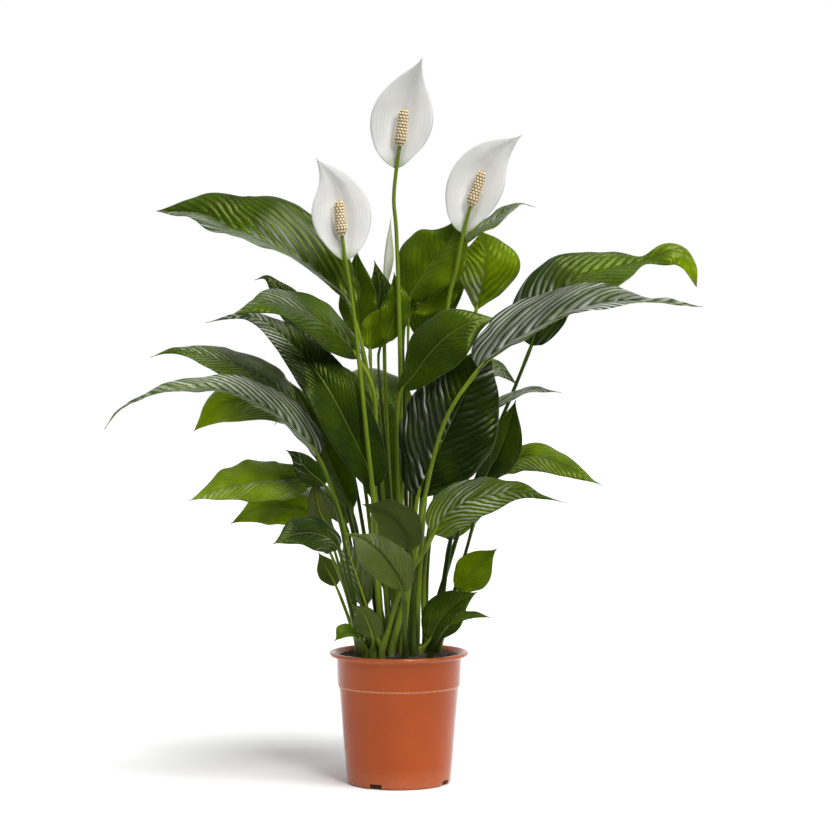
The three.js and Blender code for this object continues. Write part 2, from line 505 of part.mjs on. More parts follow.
// One cross-section of a blade: five points over the upper face, then the same five underneath.
function bladeRing(frame, leaf, share, ribDepth) {
  const half = halfWidth(leaf.width, share, leaf.shape);
  const swell = Math.sqrt(Math.sin(Math.PI * Math.min(share * 1.02, 1)));
  const [count, height, phase] = leaf.wave;
  const upper = [];
  const lower = [];
  for (const v of across) {
    const fold = THREE.MathUtils.degToRad(lerp(...(v < 0 ? leaf.left : leaf.right), share));
    const reach = Math.abs(v);
    const lean = fold - (blade.arch * reach) / 2;
    const ripple = Math.sin(2 * Math.PI * (count * share + phase) + (v < 0 ? 0 : 1.3));
    const rise = height * (leaf.width / blade.waveWidth) * v * v * swell * ripple;
    const turn = fold - blade.arch * reach;
    const normal = frame.up.clone().multiplyScalar(Math.cos(v === 0 ? 0 : turn));
    normal.addScaledVector(frame.side, v === 0 ? 0 : -Math.sign(v) * Math.sin(turn));
    const p = frame.at.clone().addScaledVector(frame.side, Math.sign(v) * half * reach * Math.cos(lean));
    p.addScaledVector(frame.up, half * reach * Math.sin(lean)).addScaledVector(normal, rise);
    const under = blade.thickness / 2 + (v === 0 ? ribDepth : 0);
    upper.push(p.clone().addScaledVector(normal, blade.thickness / 2));
    lower.unshift(p.clone().addScaledVector(normal, -under));
  }
  return [...upper, ...lower];
}

function makeLeaf(leaf) {
  const [x, y] = leaf.root;
  const points = [[x, y, root.collar], ...leaf.stem, leaf.base, ...leaf.rib];
  const curve = curveThrough(points);
  const baseAt = (leaf.stem.length + 1) / (points.length - 1);
  const upStalk = alongFrom(curve, 0, baseAt);
  const upBlade = alongFrom(curve, baseAt, 1);
  const small = leaf.width < shortLeaf;
  const thin = small ? petiole.small : petiole.large;
  const ringSize = across.length * 2;
  const firstFace = blend(leaf.face, 0);
  const upright = { side: new THREE.Vector3(0, 0, 1).cross(firstFace).normalize() };
  upright.up = upright.side.clone().cross(new THREE.Vector3(0, 0, 1));
  const rings = [root.sunk, root.collar].map((z) =>
    roundRing({ ...upright, at: new THREE.Vector3(x, y, z) }, root.radius, ringSize));
  const stalkRows = leaf.stem.length + 2;
  for (let i = 1; i <= stalkRows; i++) {
    const share = i / stalkRows;
    const radius = thin + (root.radius - thin) * (1 - share) ** 1.5;
    rings.push(roundRing(frameAt(curve, upStalk(share), firstFace), radius, ringSize));
  }
  for (const share of (small ? shortRows : longRows).slice(1)) {
    const ribDepth = thin * petiole.rib * Math.max(1 - share / petiole.ribEnd, 0);
    rings.push(bladeRing(frameAt(curve, upBlade(share), blend(leaf.face, share)), leaf, share, ribDepth));
  }
  return loft(rings, true);
}

// ---------- blooms ----------

function makeStalk(bloom) {
  const [x, y] = bloom.root;
  const points = [[x, y, root.collar], ...bloom.stem, bloom.top];
  const curve = curveThrough(points);
  const up = alongFrom(curve, 0, 1);
  const straight = (z) => ({
    at: new THREE.Vector3(x, y, z),
    side: new THREE.Vector3(1, 0, 0),
    up: new THREE.Vector3(0, -1, 0),
  });
  const rings = [root.sunk, root.collar].map((z) => roundRing(straight(z), root.radius, stalk.sides));
  const rows = bloom.stem.length * 2 + 1;
  for (let i = 1; i <= rows; i++) {
    const share = i / rows;
    const radius = stalk.radius + (root.radius - stalk.radius) * (1 - share) ** 1.5;
    rings.push(roundRing(frameAt(curve, up(share), new THREE.Vector3(0, -1, 0)), radius, stalk.sides));
  }
  return loft(rings, false);
}

// The spathe is one cupped blade whose base stands against the back of the stalk.
function makeSpathe(bloom) {
  const curve = curveThrough(bloom.spathe);
  const up = alongFrom(curve, 0, 1);
  const leaf = { ...hood, width: bloom.width, left: bloom.cup, right: bloom.cup };
  const rings = [];
  for (const share of longRows) {
    const frame = frameAt(curve, up(share), blend(bloom.face, share));
    if (share === 0) rings.push(roundRing(frame, hood.foot, across.length * 2));
    else rings.push(bladeRing(frame, leaf, share, 0));
  }
  return loft(rings, true);
}

// The spadix is a blunt rod covered in small florets: every second point of each ring stands proud.
function makeSpadix(bloom) {
  const from = new THREE.Vector3(...bloom.top);
  const axis = new THREE.Vector3(...bloom.spadix).sub(from);
  const length = axis.length();
  axis.normalize();
  from.addScaledVector(axis, spadix.seat);
  const side = axis.clone().cross(new THREE.Vector3(0, -1, 0)).normalize();
  const up = side.clone().cross(axis);
  const rings = [];
  for (let row = 0; row <= spadix.rows; row++) {
    const share = row / spadix.rows;
    const swell = spadix.foot + (1 - spadix.foot) * Math.min(share * 6, 1) ** 0.6;
    const past = Math.max((share - spadix.roundFrom) / (1.015 - spadix.roundFrom), 0);
    const body = spadix.radius * swell * (1 - spadix.tip * share) * Math.sqrt(1 - past ** 2);
    const ring = [];
    for (let k = 0; k < spadix.around; k++) {
      const angle = (2 * Math.PI * k) / spadix.around;
      const proud = (k + row) % 2 === 0 && row > 0 && row < spadix.rows ? spadix.bump : 0;
      const p = from.clone().addScaledVector(axis, share * length);
      p.addScaledVector(side, (body + proud) * Math.cos(angle));
      ring.push(p.addScaledVector(up, -(body + proud) * Math.sin(angle)));
    }
    rings.push(ring);
  }
  return loft(rings, false);
}

// ---------- assembly ----------

const group = new THREE.Group();

function place(name, geometry, colour, roughness) {
  const material = new THREE.MeshStandardMaterial({ color: colour, roughness, metalness: 0 });
  const mesh = new THREE.Mesh(geometry, material);
  mesh.name = name;
  group.add(mesh);
}

place('pot', makePot(), colours.pot, 0.35);
place('soil', makeSoil([...leaves, ...blooms].map((each) => each.root)), colours.soil, 0.95);
for (const leaf of leaves) place(leaf.name, makeLeaf(leaf), colours.leaf, 0.4);
for (const bloom of blooms) {
  place(`${bloom.name}_stalk`, makeStalk(bloom), colours.stalk, 0.5);
  place(`${bloom.name}_spathe`, makeSpathe(bloom), colours.spathe, 0.55);
  if (bloom.spadix) place(`${bloom.name}_spadix`, makeSpadix(bloom), colours.spadix, 0.7);
}

export default group;
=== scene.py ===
import math
import random

import bmesh
import bpy
from mathutils import Matrix, Vector, noise


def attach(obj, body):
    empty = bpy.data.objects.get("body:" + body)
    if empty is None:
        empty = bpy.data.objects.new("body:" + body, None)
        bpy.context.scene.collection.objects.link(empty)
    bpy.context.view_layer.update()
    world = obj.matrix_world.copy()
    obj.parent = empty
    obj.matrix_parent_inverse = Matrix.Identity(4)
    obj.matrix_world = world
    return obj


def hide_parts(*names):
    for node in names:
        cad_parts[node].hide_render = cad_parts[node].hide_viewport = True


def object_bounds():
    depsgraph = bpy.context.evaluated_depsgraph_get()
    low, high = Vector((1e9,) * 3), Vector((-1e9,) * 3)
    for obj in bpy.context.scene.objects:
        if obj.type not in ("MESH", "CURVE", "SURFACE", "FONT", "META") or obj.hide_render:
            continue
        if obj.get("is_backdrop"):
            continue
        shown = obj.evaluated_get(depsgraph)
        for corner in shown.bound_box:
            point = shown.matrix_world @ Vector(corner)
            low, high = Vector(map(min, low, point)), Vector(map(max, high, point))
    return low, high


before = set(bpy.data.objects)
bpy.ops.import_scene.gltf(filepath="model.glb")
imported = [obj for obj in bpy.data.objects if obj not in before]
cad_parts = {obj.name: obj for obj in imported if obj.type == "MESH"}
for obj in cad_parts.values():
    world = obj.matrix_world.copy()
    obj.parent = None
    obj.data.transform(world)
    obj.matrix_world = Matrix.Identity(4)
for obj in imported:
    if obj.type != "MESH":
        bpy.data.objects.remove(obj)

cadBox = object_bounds()
mm = 0.001  # the pieces below are given in millimetres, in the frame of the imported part
scene = bpy.context.scene
print("frame loaded,", len(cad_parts), "nodes")

# the camera, the light and the floor
view = {
    "place": (0.021, -3.0, 0.526),
    "down": 1.47,  # degrees that the camera looks down
    "lens": 106.2, "sensor": 36, "near": 0.05,
}
studio = {
    # brightness of the white room: behind the plant, overhead, and towards the camera, where
    # shiny faces mirror a brighter room
    "behind": 1.0, "above": 0.60, "front": 0.06, "mirrored": 0.30,
    "turn": (0.0, 0.55),  # how far back a direction looks while front turns into behind
    "rise": (0.25, 0.8),  # and how far up while both turn into above
    "sun": {"from": (0.75, -0.75, 2.4), "spread": 34, "power": 3.1},  # a large, far softbox
    "fill": {"at": (0.9, -2.2, 1.7), "aim": (0, 0, 0.6), "size": (0.5, 0.7), "power": 30},
    # the white sheet ends just in front of the pot
    "floor": {"front": -0.52, "back": 14, "side": 9, "white": 0.90, "rough": 0.9, "shine": 0.1},
}


def node(tree, kind, inputs=None, **settings):
    made = tree.nodes.new("ShaderNode" + kind)
    for key, value in settings.items():
        setattr(made, key, value)
    for key, value in (inputs or {}).items():
        if isinstance(value, bpy.types.NodeSocket):
            tree.links.new(value, made.inputs[key])
        else:
            made.inputs[key].default_value = value
    return made


def calc(tree, operation, first, second=0.0, third=0.0):
    return node(tree, "Math", {0: first, 1: second, 2: third}, operation=operation).outputs[0]


def times(tree, first, second):
    return calc(tree, "MULTIPLY", first, second)


def scaled(tree, value, by, plus):
    return calc(tree, "MULTIPLY_ADD", value, by, plus)


def nearWhole(tree, value):
    # 0.5 where the value is a whole number, down to 0 halfway between two
    return calc(tree, "ABSOLUTE", calc(tree, "SUBTRACT", calc(tree, "FRACT", value), 0.5))


def ramp(tree, value, low, high, toLow=0.0, toHigh=1.0):
    # value eased from low..high to toLow..toHigh
    sockets = {"Value": value, "From Min": low, "From Max": high, "To Min": toLow, "To Max": toHigh}
    return node(tree, "MapRange", sockets, interpolation_type="SMOOTHSTEP").outputs["Result"]


def mixed(tree, share, first, second):
    return node(tree, "Mix", {0: share, 2: first, 3: second}, data_type="FLOAT").outputs[0]


def blend(tree, share, first, second):
    made = node(tree, "Mix", {0: share}, data_type="RGBA")
    for slot, colour in ((6, first), (7, second)):
        if isinstance(colour, bpy.types.NodeSocket):
            tree.links.new(colour, made.inputs[slot])
        else:
            made.inputs[slot].default_value = (*colour, 1)
    return made.outputs[2]


def axesOf(tree, vector):
    return node(tree, "SeparateXYZ", {0: vector}).outputs


def softNoise(tree, place, scale, detail):
    return node(tree, "TexNoise", {"Vector": place, "Scale": scale, "Detail": detail}).outputs["Fac"]


def linkNew(data, name, place=(0, 0, 0), turn=(0, 0, 0)):
    made = bpy.data.objects.new(name, data)
    made.location = place
    made.rotation_euler = turn
    scene.collection.objects.link(made)
    return made


def setCamera():
    data = bpy.data.cameras.new("camera")
    data.sensor_width = view["sensor"]
    data.lens = view["lens"]
    data.clip_start = view["near"]
    scene.camera = linkNew(data, "camera", view["place"], (math.radians(90 - view["down"]), 0, 0))


def addSoftbox(name, box):
    data = bpy.data.lights.new(name, "AREA")
    data.shape = "RECTANGLE"
    data.size, data.size_y = box["size"]
    data.energy = box["power"]
    direction = Vector(box["aim"]) - Vector(box["at"])
    linkNew(data, name, box["at"], direction.to_track_quat("-Z", "Y").to_euler())


def addSun(sun):
    data = bpy.data.lights.new("sun", "SUN")
    data.angle = math.radians(sun["spread"])
    data.energy = sun["power"]
    linkNew(data, "sun", turn=(-Vector(sun["from"])).to_track_quat("-Z", "Y").to_euler())


def lightRoom():
    world = bpy.data.worlds.new("room")
    world.use_nodes = True
    tree = world.node_tree
    tree.nodes.clear()
    direction = axesOf(tree, node(tree, "TexCoord").outputs["Generated"])
    path = node(tree, "LightPath").outputs
    front = ramp(tree, path["Is Glossy Ray"], 0.0, 1.0, studio["front"], studio["mirrored"])
    level = mixed(tree, ramp(tree, direction["Y"], *studio["turn"]), front, studio["behind"])
    level = mixed(tree, ramp(tree, direction["Z"], *studio["rise"]), level, studio["above"])
    level = mixed(tree, path["Is Camera Ray"], level, 1.0)  # the backdrop itself shows white
    room = node(tree, "Background", {"Color": (1, 1, 1, 1), "Strength": level})
    node(tree, "OutputWorld", {"Surface": room.outputs[0]})
    scene.world = world
    addSoftbox("fill", studio["fill"])
    addSun(studio["sun"])


def newMaterial(name):
    made = bpy.data.materials.new(name)
    made.use_nodes = True
    made.node_tree.nodes.clear()
    return made, made.node_tree


def closeMaterial(tree, shader):
    node(tree, "OutputMaterial", {"Surface": shader})


def layFloor():
    sheet = studio["floor"]
    depth = sheet["back"] - sheet["front"]
    where = Matrix.Translation((0, sheet["front"] + depth / 2, 0))
    where = where @ Matrix.Diagonal((sheet["side"] * 2, depth, 1, 1))
    bm = bmesh.new()
    bmesh.ops.create_grid(bm, x_segments=1, y_segments=1, size=0.5, matrix=where)
    mesh = bpy.data.meshes.new("floor")
    bm.to_mesh(mesh)
    bm.free()
    floor = linkNew(mesh, "floor")
    made, tree = newMaterial("floor_white")
    white = (sheet["white"], sheet["white"], sheet["white"], 1)
    paper = node(tree, "BsdfPrincipled", {"Base Color": white, "Roughness": sheet["rough"],
                                          "Specular IOR Level": sheet["shine"]})
    closeMaterial(tree, paper.outputs[0])
    mesh.materials.append(made)
    floor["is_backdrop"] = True


setCamera()
lightRoom()
layFloor()
scene.view_settings.view_transform = "Standard"
print("room, lights, floor and camera set")

# shading that several finishes share
mottleForm = {"cloudDetail": 3.0, "cloudEdge": (0.32, 0.68), "grainScale": 22.0, "grainDetail": 2.0}
veinForm = {
    "stray": 0.8, "strayScale": 4.0,  # how far a side vein strays, in steps from vein to vein
    "inner": (0.05, 0.45),  # centimetres from the midrib over which the side veins set in
    "outer": (0.80, 1.0, 1.0, 0.15),  # and the share across the blade over which they fade
    "line": (0.36, 0.5),
    "hairs": 5.0, "hairEdge": (0.1, 0.5), "hairDepth": -0.03,  # the hair-fine veins from vein to vein
    "crestAt": 0.2, "crest": (0.17, 0.42),  # beside the vein, in steps
    "patchScale": (0.55, 0.22), "patchDetail": 3.0, "patchEdge": (0.36, 0.62),  # breaks up the crests
    "ribWidth": (-0.07, 0.11),  # half of the midrib in centimetres: less at the tip, and at the base
    "ribEdge": (0.5, 1.3, 1.0, 0.0),
    "edge": (0.955, 0.99), "tip": (0.95, 0.995),
}


def newGroup(name, inputs, outputs):
    group = bpy.data.node_groups.new(name, "ShaderNodeTree")
    for label, kind in inputs:
        group.interface.new_socket(label, in_out="INPUT", socket_type="NodeSocket" + kind)
    for label in outputs:
        group.interface.new_socket(label, in_out="OUTPUT", socket_type="NodeSocketFloat")
    return group, group.nodes.new("NodeGroupInput").outputs


def closeGroup(group, values):
    put = group.nodes.new("NodeGroupOutput").inputs
    for label, value in values.items():
        group.links.new(value, put[label])
    return group


def makeMottle():
    # two scales of soft noise: Cloud for colour, Grain for roughness and fine relief
    group, given = newGroup("mottle", [("Place", "Vector"), ("Scale", "Float")], ["Cloud", "Grain"])
    cloud = softNoise(group, given["Place"], given["Scale"], mottleForm["cloudDetail"])
    fine = times(group, given["Scale"], mottleForm["grainScale"])
    grain = softNoise(group, given["Place"], fine, mottleForm["grainDetail"])
    return closeGroup(group, {"Cloud": ramp(group, cloud, *mottleForm["cloudEdge"]), "Grain": grain})


def makeLeafSkin():
    # Veins holds (count of side veins so far, centimetres from the midrib), Spread holds (share along
    # the blade, share across it). Line is 1 on a side vein, Bulge is the swelling between two veins and
    # Streak the crest beside a vein, where the painted highlight lies unevenly along its run.
    form = veinForm
    group, given = newGroup("leaf_skin", [("Veins", "Vector"), ("Spread", "Vector")],
                            ["Line", "Bulge", "Streak", "Rib", "Edge", "Tip"])
    veins = axesOf(group, given["Veins"])
    spread = axesOf(group, given["Spread"])
    stray = softNoise(group, given["Spread"], form["strayScale"], 1.0)
    count = scaled(group, stray, form["stray"], veins["X"])
    fromVein = nearWhole(group, count)
    across = calc(group, "ABSOLUTE", spread["Y"])
    fromRib = calc(group, "ABSOLUTE", veins["Y"])
    strength = times(group, ramp(group, fromRib, *form["inner"]), ramp(group, across, *form["outer"]))
    hairs = nearWhole(group, times(group, count, form["hairs"]))
    swelling = calc(group, "COSINE", times(group, fromVein, 2 * math.pi))
    swelling = scaled(group, swelling, 0.5, 0.5)
    bulge = scaled(group, ramp(group, hairs, *form["hairEdge"]), form["hairDepth"], swelling)
    alongVein, alongRib = form["patchScale"]
    patches = node(group, "CombineXYZ", {0: times(group, count, alongVein),
                                         1: times(group, veins["Y"], alongRib), 2: 0.0}).outputs[0]
    patches = ramp(group, softNoise(group, patches, 1.0, form["patchDetail"]), *form["patchEdge"])
    crest = nearWhole(group, calc(group, "ADD", count, form["crestAt"]))
    ribWidth = scaled(group, spread["X"], *form["ribWidth"])
    return closeGroup(group, {
        "Line": times(group, ramp(group, fromVein, *form["line"]), strength),
        "Bulge": times(group, bulge, strength),
        "Streak": times(group, ramp(group, crest, *form["crest"]), patches),
        "Rib": ramp(group, calc(group, "DIVIDE", fromRib, ribWidth), *form["ribEdge"]),
        "Edge": ramp(group, across, *form["edge"]),
        "Tip": ramp(group, spread["X"], *form["tip"]),
    })


mottle = makeMottle()
leafSkin = makeLeafSkin()


def mottled(tree, scale, place=None):
    place = place or node(tree, "TexCoord").outputs["Object"]
    return node(tree, "Group", {"Place": place, "Scale": scale}, node_tree=mottle).outputs


def uvOf(tree, name):
    return node(tree, "UVMap", uv_map=name).outputs["UV"]


def relief(tree, height, depth, strength=1.0):
    inputs = {"Height": height, "Distance": depth * mm, "Strength": strength}
    return node(tree, "Bump", inputs).outputs[0]


def coat(tree, colour, rough, normal, more=None):
    inputs = {"Base Color": colour, "Roughness": rough, "Normal": normal, **(more or {})}
    return node(tree, "BsdfPrincipled", inputs).outputs[0]


def thinSheet(tree, share, surface, glow):
    # a surface that lets a share of the light behind it through
    light = node(tree, "BsdfTranslucent", {"Color": glow}).outputs[0]
    return node(tree, "MixShader", {0: share, 1: surface, 2: light}).outputs[0]


# the finishes of the leaves and their stalks
leafTints = {
    "dark": (0.005, 0.017, 0.004),
    "middle": (0.050, 0.094, 0.001),
    "bright": (0.240, 0.335, 0.003),
    "greyReflection": (0.80, 0.82, 0.75),  # painted reflection: the grey silver that the bright room leaves on a glossy blade
    "glint": (0.95, 0.97, 0.94),  # painted highlight: the whiter glint of the room on the dark glossy leaves
    "rib": (0.190, 0.250, 0.045),
    "edge": (0.170, 0.210, 0.090),
    "tip": (0.130, 0.095, 0.045),
    "under": (0.165, 0.190, 0.060),
    "glow": (0.50, 0.68, 0.01),  # light that comes through a bright blade
    "dimGlow": (0.03, 0.06, 0.003),  # and through a dark one
}
leafLook = {
    "cloudScale": 20.0, "cloud": 0.26,  # how uneven the green is
    "depth": (0.10, 0.60, 0.35, 1.0),  # how deep the pleats look, by sheen: matt leaves are smoother
    "swell": (0.24, -0.14),  # painted light and shade of the pleats: how much lighter a swelling is, and how much darker a furrow
    "pale": 0.45,  # share of the underside's own colour
    "patchScale": 7.0, "patch": 0.6, "cover": (0.60, 1.20), "coverPower": 1.7,  # where the painted silver reflection lies
    "glare": (0.15, 0.40, 1.0, 0.70),  # painted reflection: dark leaves show the room more
    "greyReflectionShare": (0.08, 0.20),  # painted reflection: from this tone on the silver is the grey one, below it the white glint
    "haze": (0.60, 1.15, 0.02, 0.30), "hazePower": 1.5,  # painted reflection on the whole swelling, by sheen
    "sharp": (0.10, 0.26, 3.4, 1.0), "reflectionStreaks": 0.90,  # painted highlight streaks are narrow on dark leaves
    "marks": {"Line": ("rib", 0.18), "Edge": ("edge", 0.35), "Rib": ("rib", 0.5), "Tip": ("tip", 0.7)},
    "underLine": 0.30,  # the side veins show more from below
}
leafSurface = {
    "rough": 0.23, "under": 0.40, "uneven": (-0.05, 0.08), "grain": (0.3, 0.7),
    "pleat": 0.8, "grainDepth": 0.012, "through": 0.32,
    # the skin takes some green out of what it reflects head-on
    "gloss": {"IOR": 1.45, "Specular Tint": (0.55, 0.75, 0.12, 1)},
}


def leafColour(tree, under):
    # Tone holds (dark 0 to bright 1, partly the leaf's own green and partly painted light and shade; how
    # much painted silver reflection the skin has)
    look = leafLook
    tone = axesOf(tree, uvOf(tree, "tone"))
    skin = node(tree, "Group", {"Veins": uvOf(tree, "veins"), "Spread": uvOf(tree, "spread")},
                node_tree=leafSkin).outputs
    noises = mottled(tree, look["cloudScale"])
    cloud = scaled(tree, noises["Cloud"], look["cloud"], -look["cloud"] / 2)
    depth = ramp(tree, tone["Y"], *look["depth"])
    # painted light on the swellings and painted shade in the furrows between the side veins
    swell = times(tree, scaled(tree, skin["Bulge"], *look["swell"]), depth)
    level = calc(tree, "ADD", calc(tree, "ADD", tone["X"], cloud), swell)
    colour = blend(tree, times(tree, level, 2.0), leafTints["dark"], leafTints["middle"])
    colour = blend(tree, scaled(tree, level, 2.0, -1.0), colour, leafTints["bright"])
    if under:
        colour = blend(tree, look["pale"], colour, leafTints["under"])
    # painted silver reflection: where it lies, how strongly the room shows, and its streaks and haze
    patch = mottled(tree, look["patchScale"])["Cloud"]
    cover = ramp(tree, scaled(tree, patch, look["patch"], tone["Y"]), *look["cover"])
    cover = calc(tree, "POWER", cover, look["coverPower"])
    greyReflectionShare = ramp(tree, tone["X"], *look["greyReflectionShare"])
    haze = times(tree, ramp(tree, tone["Y"], *look["haze"]), greyReflectionShare)
    haze = times(tree, haze, calc(tree, "POWER", skin["Bulge"], look["hazePower"]))
    streak = calc(tree, "POWER", skin["Streak"], ramp(tree, tone["X"], *look["sharp"]))
    reflectionStreaks = scaled(tree, streak, look["reflectionStreaks"], haze)
    silver = times(tree, times(tree, cover, ramp(tree, tone["X"], *look["glare"])), reflectionStreaks)
    # the painted reflection goes in: white glint on dark leaves, grey silver on lighter ones
    colour = blend(tree, silver, colour, blend(tree, greyReflectionShare, leafTints["glint"], leafTints["greyReflection"]))
    for mask, (tint, share) in look["marks"].items():
        if under and mask == "Line":
            share = look["underLine"]
        colour = blend(tree, times(tree, skin[mask], share), colour, leafTints[tint])
    glow = blend(tree, level, leafTints["dimGlow"], leafTints["glow"])
    return colour, glow, times(tree, skin["Bulge"], depth), noises["Grain"]


def makeLeafFinish(name, under):
    made, tree = newMaterial(name)
    colour, glow, pleats, grain = leafColour(tree, under)
    if under:
        pleats = times(tree, pleats, -1.0)
    height = scaled(tree, grain, leafSurface["grainDepth"], pleats)
    base = leafSurface["under" if under else "rough"]
    rough = ramp(tree, grain, *leafSurface["grain"], *(base + step for step in leafSurface["uneven"]))
    surface = coat(tree, colour, rough, relief(tree, height, leafSurface["pleat"]), leafSurface["gloss"])
    closeMaterial(tree, thinSheet(tree, leafSurface["through"], surface, glow))
    return made


stalkTints = {
    "foot": (0.13, 0.18, 0.030),  # pale where it leaves the soil
    "deep": (0.012, 0.022, 0.002),
    "fresh": (0.185, 0.265, 0.014),
    "joint": (0.270, 0.350, 0.022),  # the paler swelling under the blade
    "fibre": (0.05, 0.09, 0.015),
}
stalkLook = {
    "fibres": (4.0, 30.0, 1.0), "fibreDetail": 3.0,  # dark fibres along the stalk
    "fibreEdge": (0.42, 0.62, 0.45, 0.0), "fibreDepth": 0.25, "fibreStrength": 0.8,
    "foot": (0.01, 0.10, 1.0, 0.0), "joint": (0.86, 0.92), "jointTone": (0.7, 0.1),
    "rough": (0.3, 0.7, 0.30, 0.42),
}


def makeStalkFinish():
    # Spread holds (share up the stalk, share round it); past 1 the stalk runs on as the rib of the blade
    look = stalkLook
    made, tree = newMaterial("leaf_stalk")
    spread = uvOf(tree, "spread")
    up = axesOf(tree, spread)["X"]
    tone = axesOf(tree, uvOf(tree, "tone"))["X"]
    stretched = node(tree, "Mapping", {"Vector": spread, "Scale": look["fibres"]}).outputs[0]
    fibres = softNoise(tree, stretched, 1.0, look["fibreDetail"])
    colour = blend(tree, tone, stalkTints["deep"], stalkTints["fresh"])
    foot = times(tree, ramp(tree, up, *look["foot"]), tone)
    colour = blend(tree, foot, colour, stalkTints["foot"])
    joint = times(tree, ramp(tree, up, *look["joint"]), scaled(tree, tone, *look["jointTone"]))
    colour = blend(tree, joint, colour, stalkTints["joint"])
    colour = blend(tree, ramp(tree, fibres, *look["fibreEdge"]), colour, stalkTints["fibre"])
    normal = relief(tree, fibres, look["fibreDepth"], look["fibreStrength"])
    gloss = {**leafSurface["gloss"], "IOR": 1.44}
    closeMaterial(tree, coat(tree, colour, ramp(tree, fibres, *look["rough"]), normal, gloss))
    return made


leafTop = makeLeafFinish("leaf_top", False)
leafUnder = makeLeafFinish("leaf_under", True)
stalkFinish = makeStalkFinish()
print("leaf finishes made")

# the leaves, each with its stalk
leafForm = {
    "thickness": 0.5,
    "arch": 0.45,  # how far each half curves back down, in radians
    "crease": 0.12,  # the share of each half that the crease at the midrib takes
    "tipHalf": 0.25,  # half of the width at the very tip
    "waveWidth": 80,  # the width that a wave's height is given for
    "waveShift": 1.3,  # how much later the waves of the right half come, in radians
    "waveReach": 1.02,  # the waves die away just before the tip
    "rollSpan": 0.075,  # the share of the blade that a roll takes
    "fullness": 0.75,  # of the outline: the less, the fuller
    "rowStep": 4.2, "rows": (16, 64),  # length of blade to each row of faces, and the fewest and most
    "columns": 10,  # faces across each half
    "veinStep": 12.0,  # between side veins, on a leaf of average width
    # a very narrow leaf has this share of the step, and a leaf this wide has this much more of it
    "veinNarrow": 0.7, "veinGain": 0.3, "veinWidth": 90, "veinMost": 1.2,
    "veinLean": (1.7, 1.0),  # how far a side vein runs forward: at the midrib, and more towards the edge
    "veinStart": 60,  # added to every count, so that none falls below zero
    "sheenTurn": (0.3, 0.9),  # where along the blade sheen turns into sheenTip
}
rippleForm = {
    # the finer ripple along the edge, in millimetres
    "length": 17, "height": 0.55, "power": 5, "ends": 0.12,
    "shift": 9, "otherHalf": 2.1,  # what sets one leaf's ripple and one half's apart from the next
    "stray": 0.7, "strayStep": 1.9, "strayShift": 1.7,
}
stalkForm = {
    "low": 149, "collar": 167,  # heights of its end down in the soil and of its first point above
    "root": 3.6, "small": 1.5, "large": 2.2,  # its radius at the root and at the top
    "smallWidth": 60, "taper": 1.5,  # leaves narrower than this have the small radius
    "sides": 12, "rowStep": 9, "fewest": 10,
    "flare": 0.22, "flareEnd": 0.25,  # wider than thick at the foot
    "groove": 0.22, "grooveSides": (0.75, 1.0), "grooveStart": (0.0, 0.1),
    "twist": (0.1, 0.95), "middle": 3,  # nearer than this to the middle, a stalk's outside is its front
    "joint": {"length": 24, "start": (1.2, 0.8), "end": 0.2, "swell": 0.16},
    "tones": (12.9, 7.8, 3),  # every stalk has a green of its own, from where its root is
}
ribForm = {
    # the midrib under the blade, which the stalk runs on into
    "rowStep": 8, "fewest": 8, "reach": 0.96, "size": 0.92, "taper": 0.9, "least": 0.22,
    "sinkEnd": 0.10, "sunk": 0.96, "wide": 1.1,
}
usual = {"face": [(0, -0.8, 0.6)], "folds": (14, 8), "wave": (3, 2.2, 0.1), "shape": (0.42, 0.7),
         "tone": (0.42, 0.42), "sheen": (0.25, 0.25), "lean": 1, "stride": 1, "least": 0.6, "rippled": True}
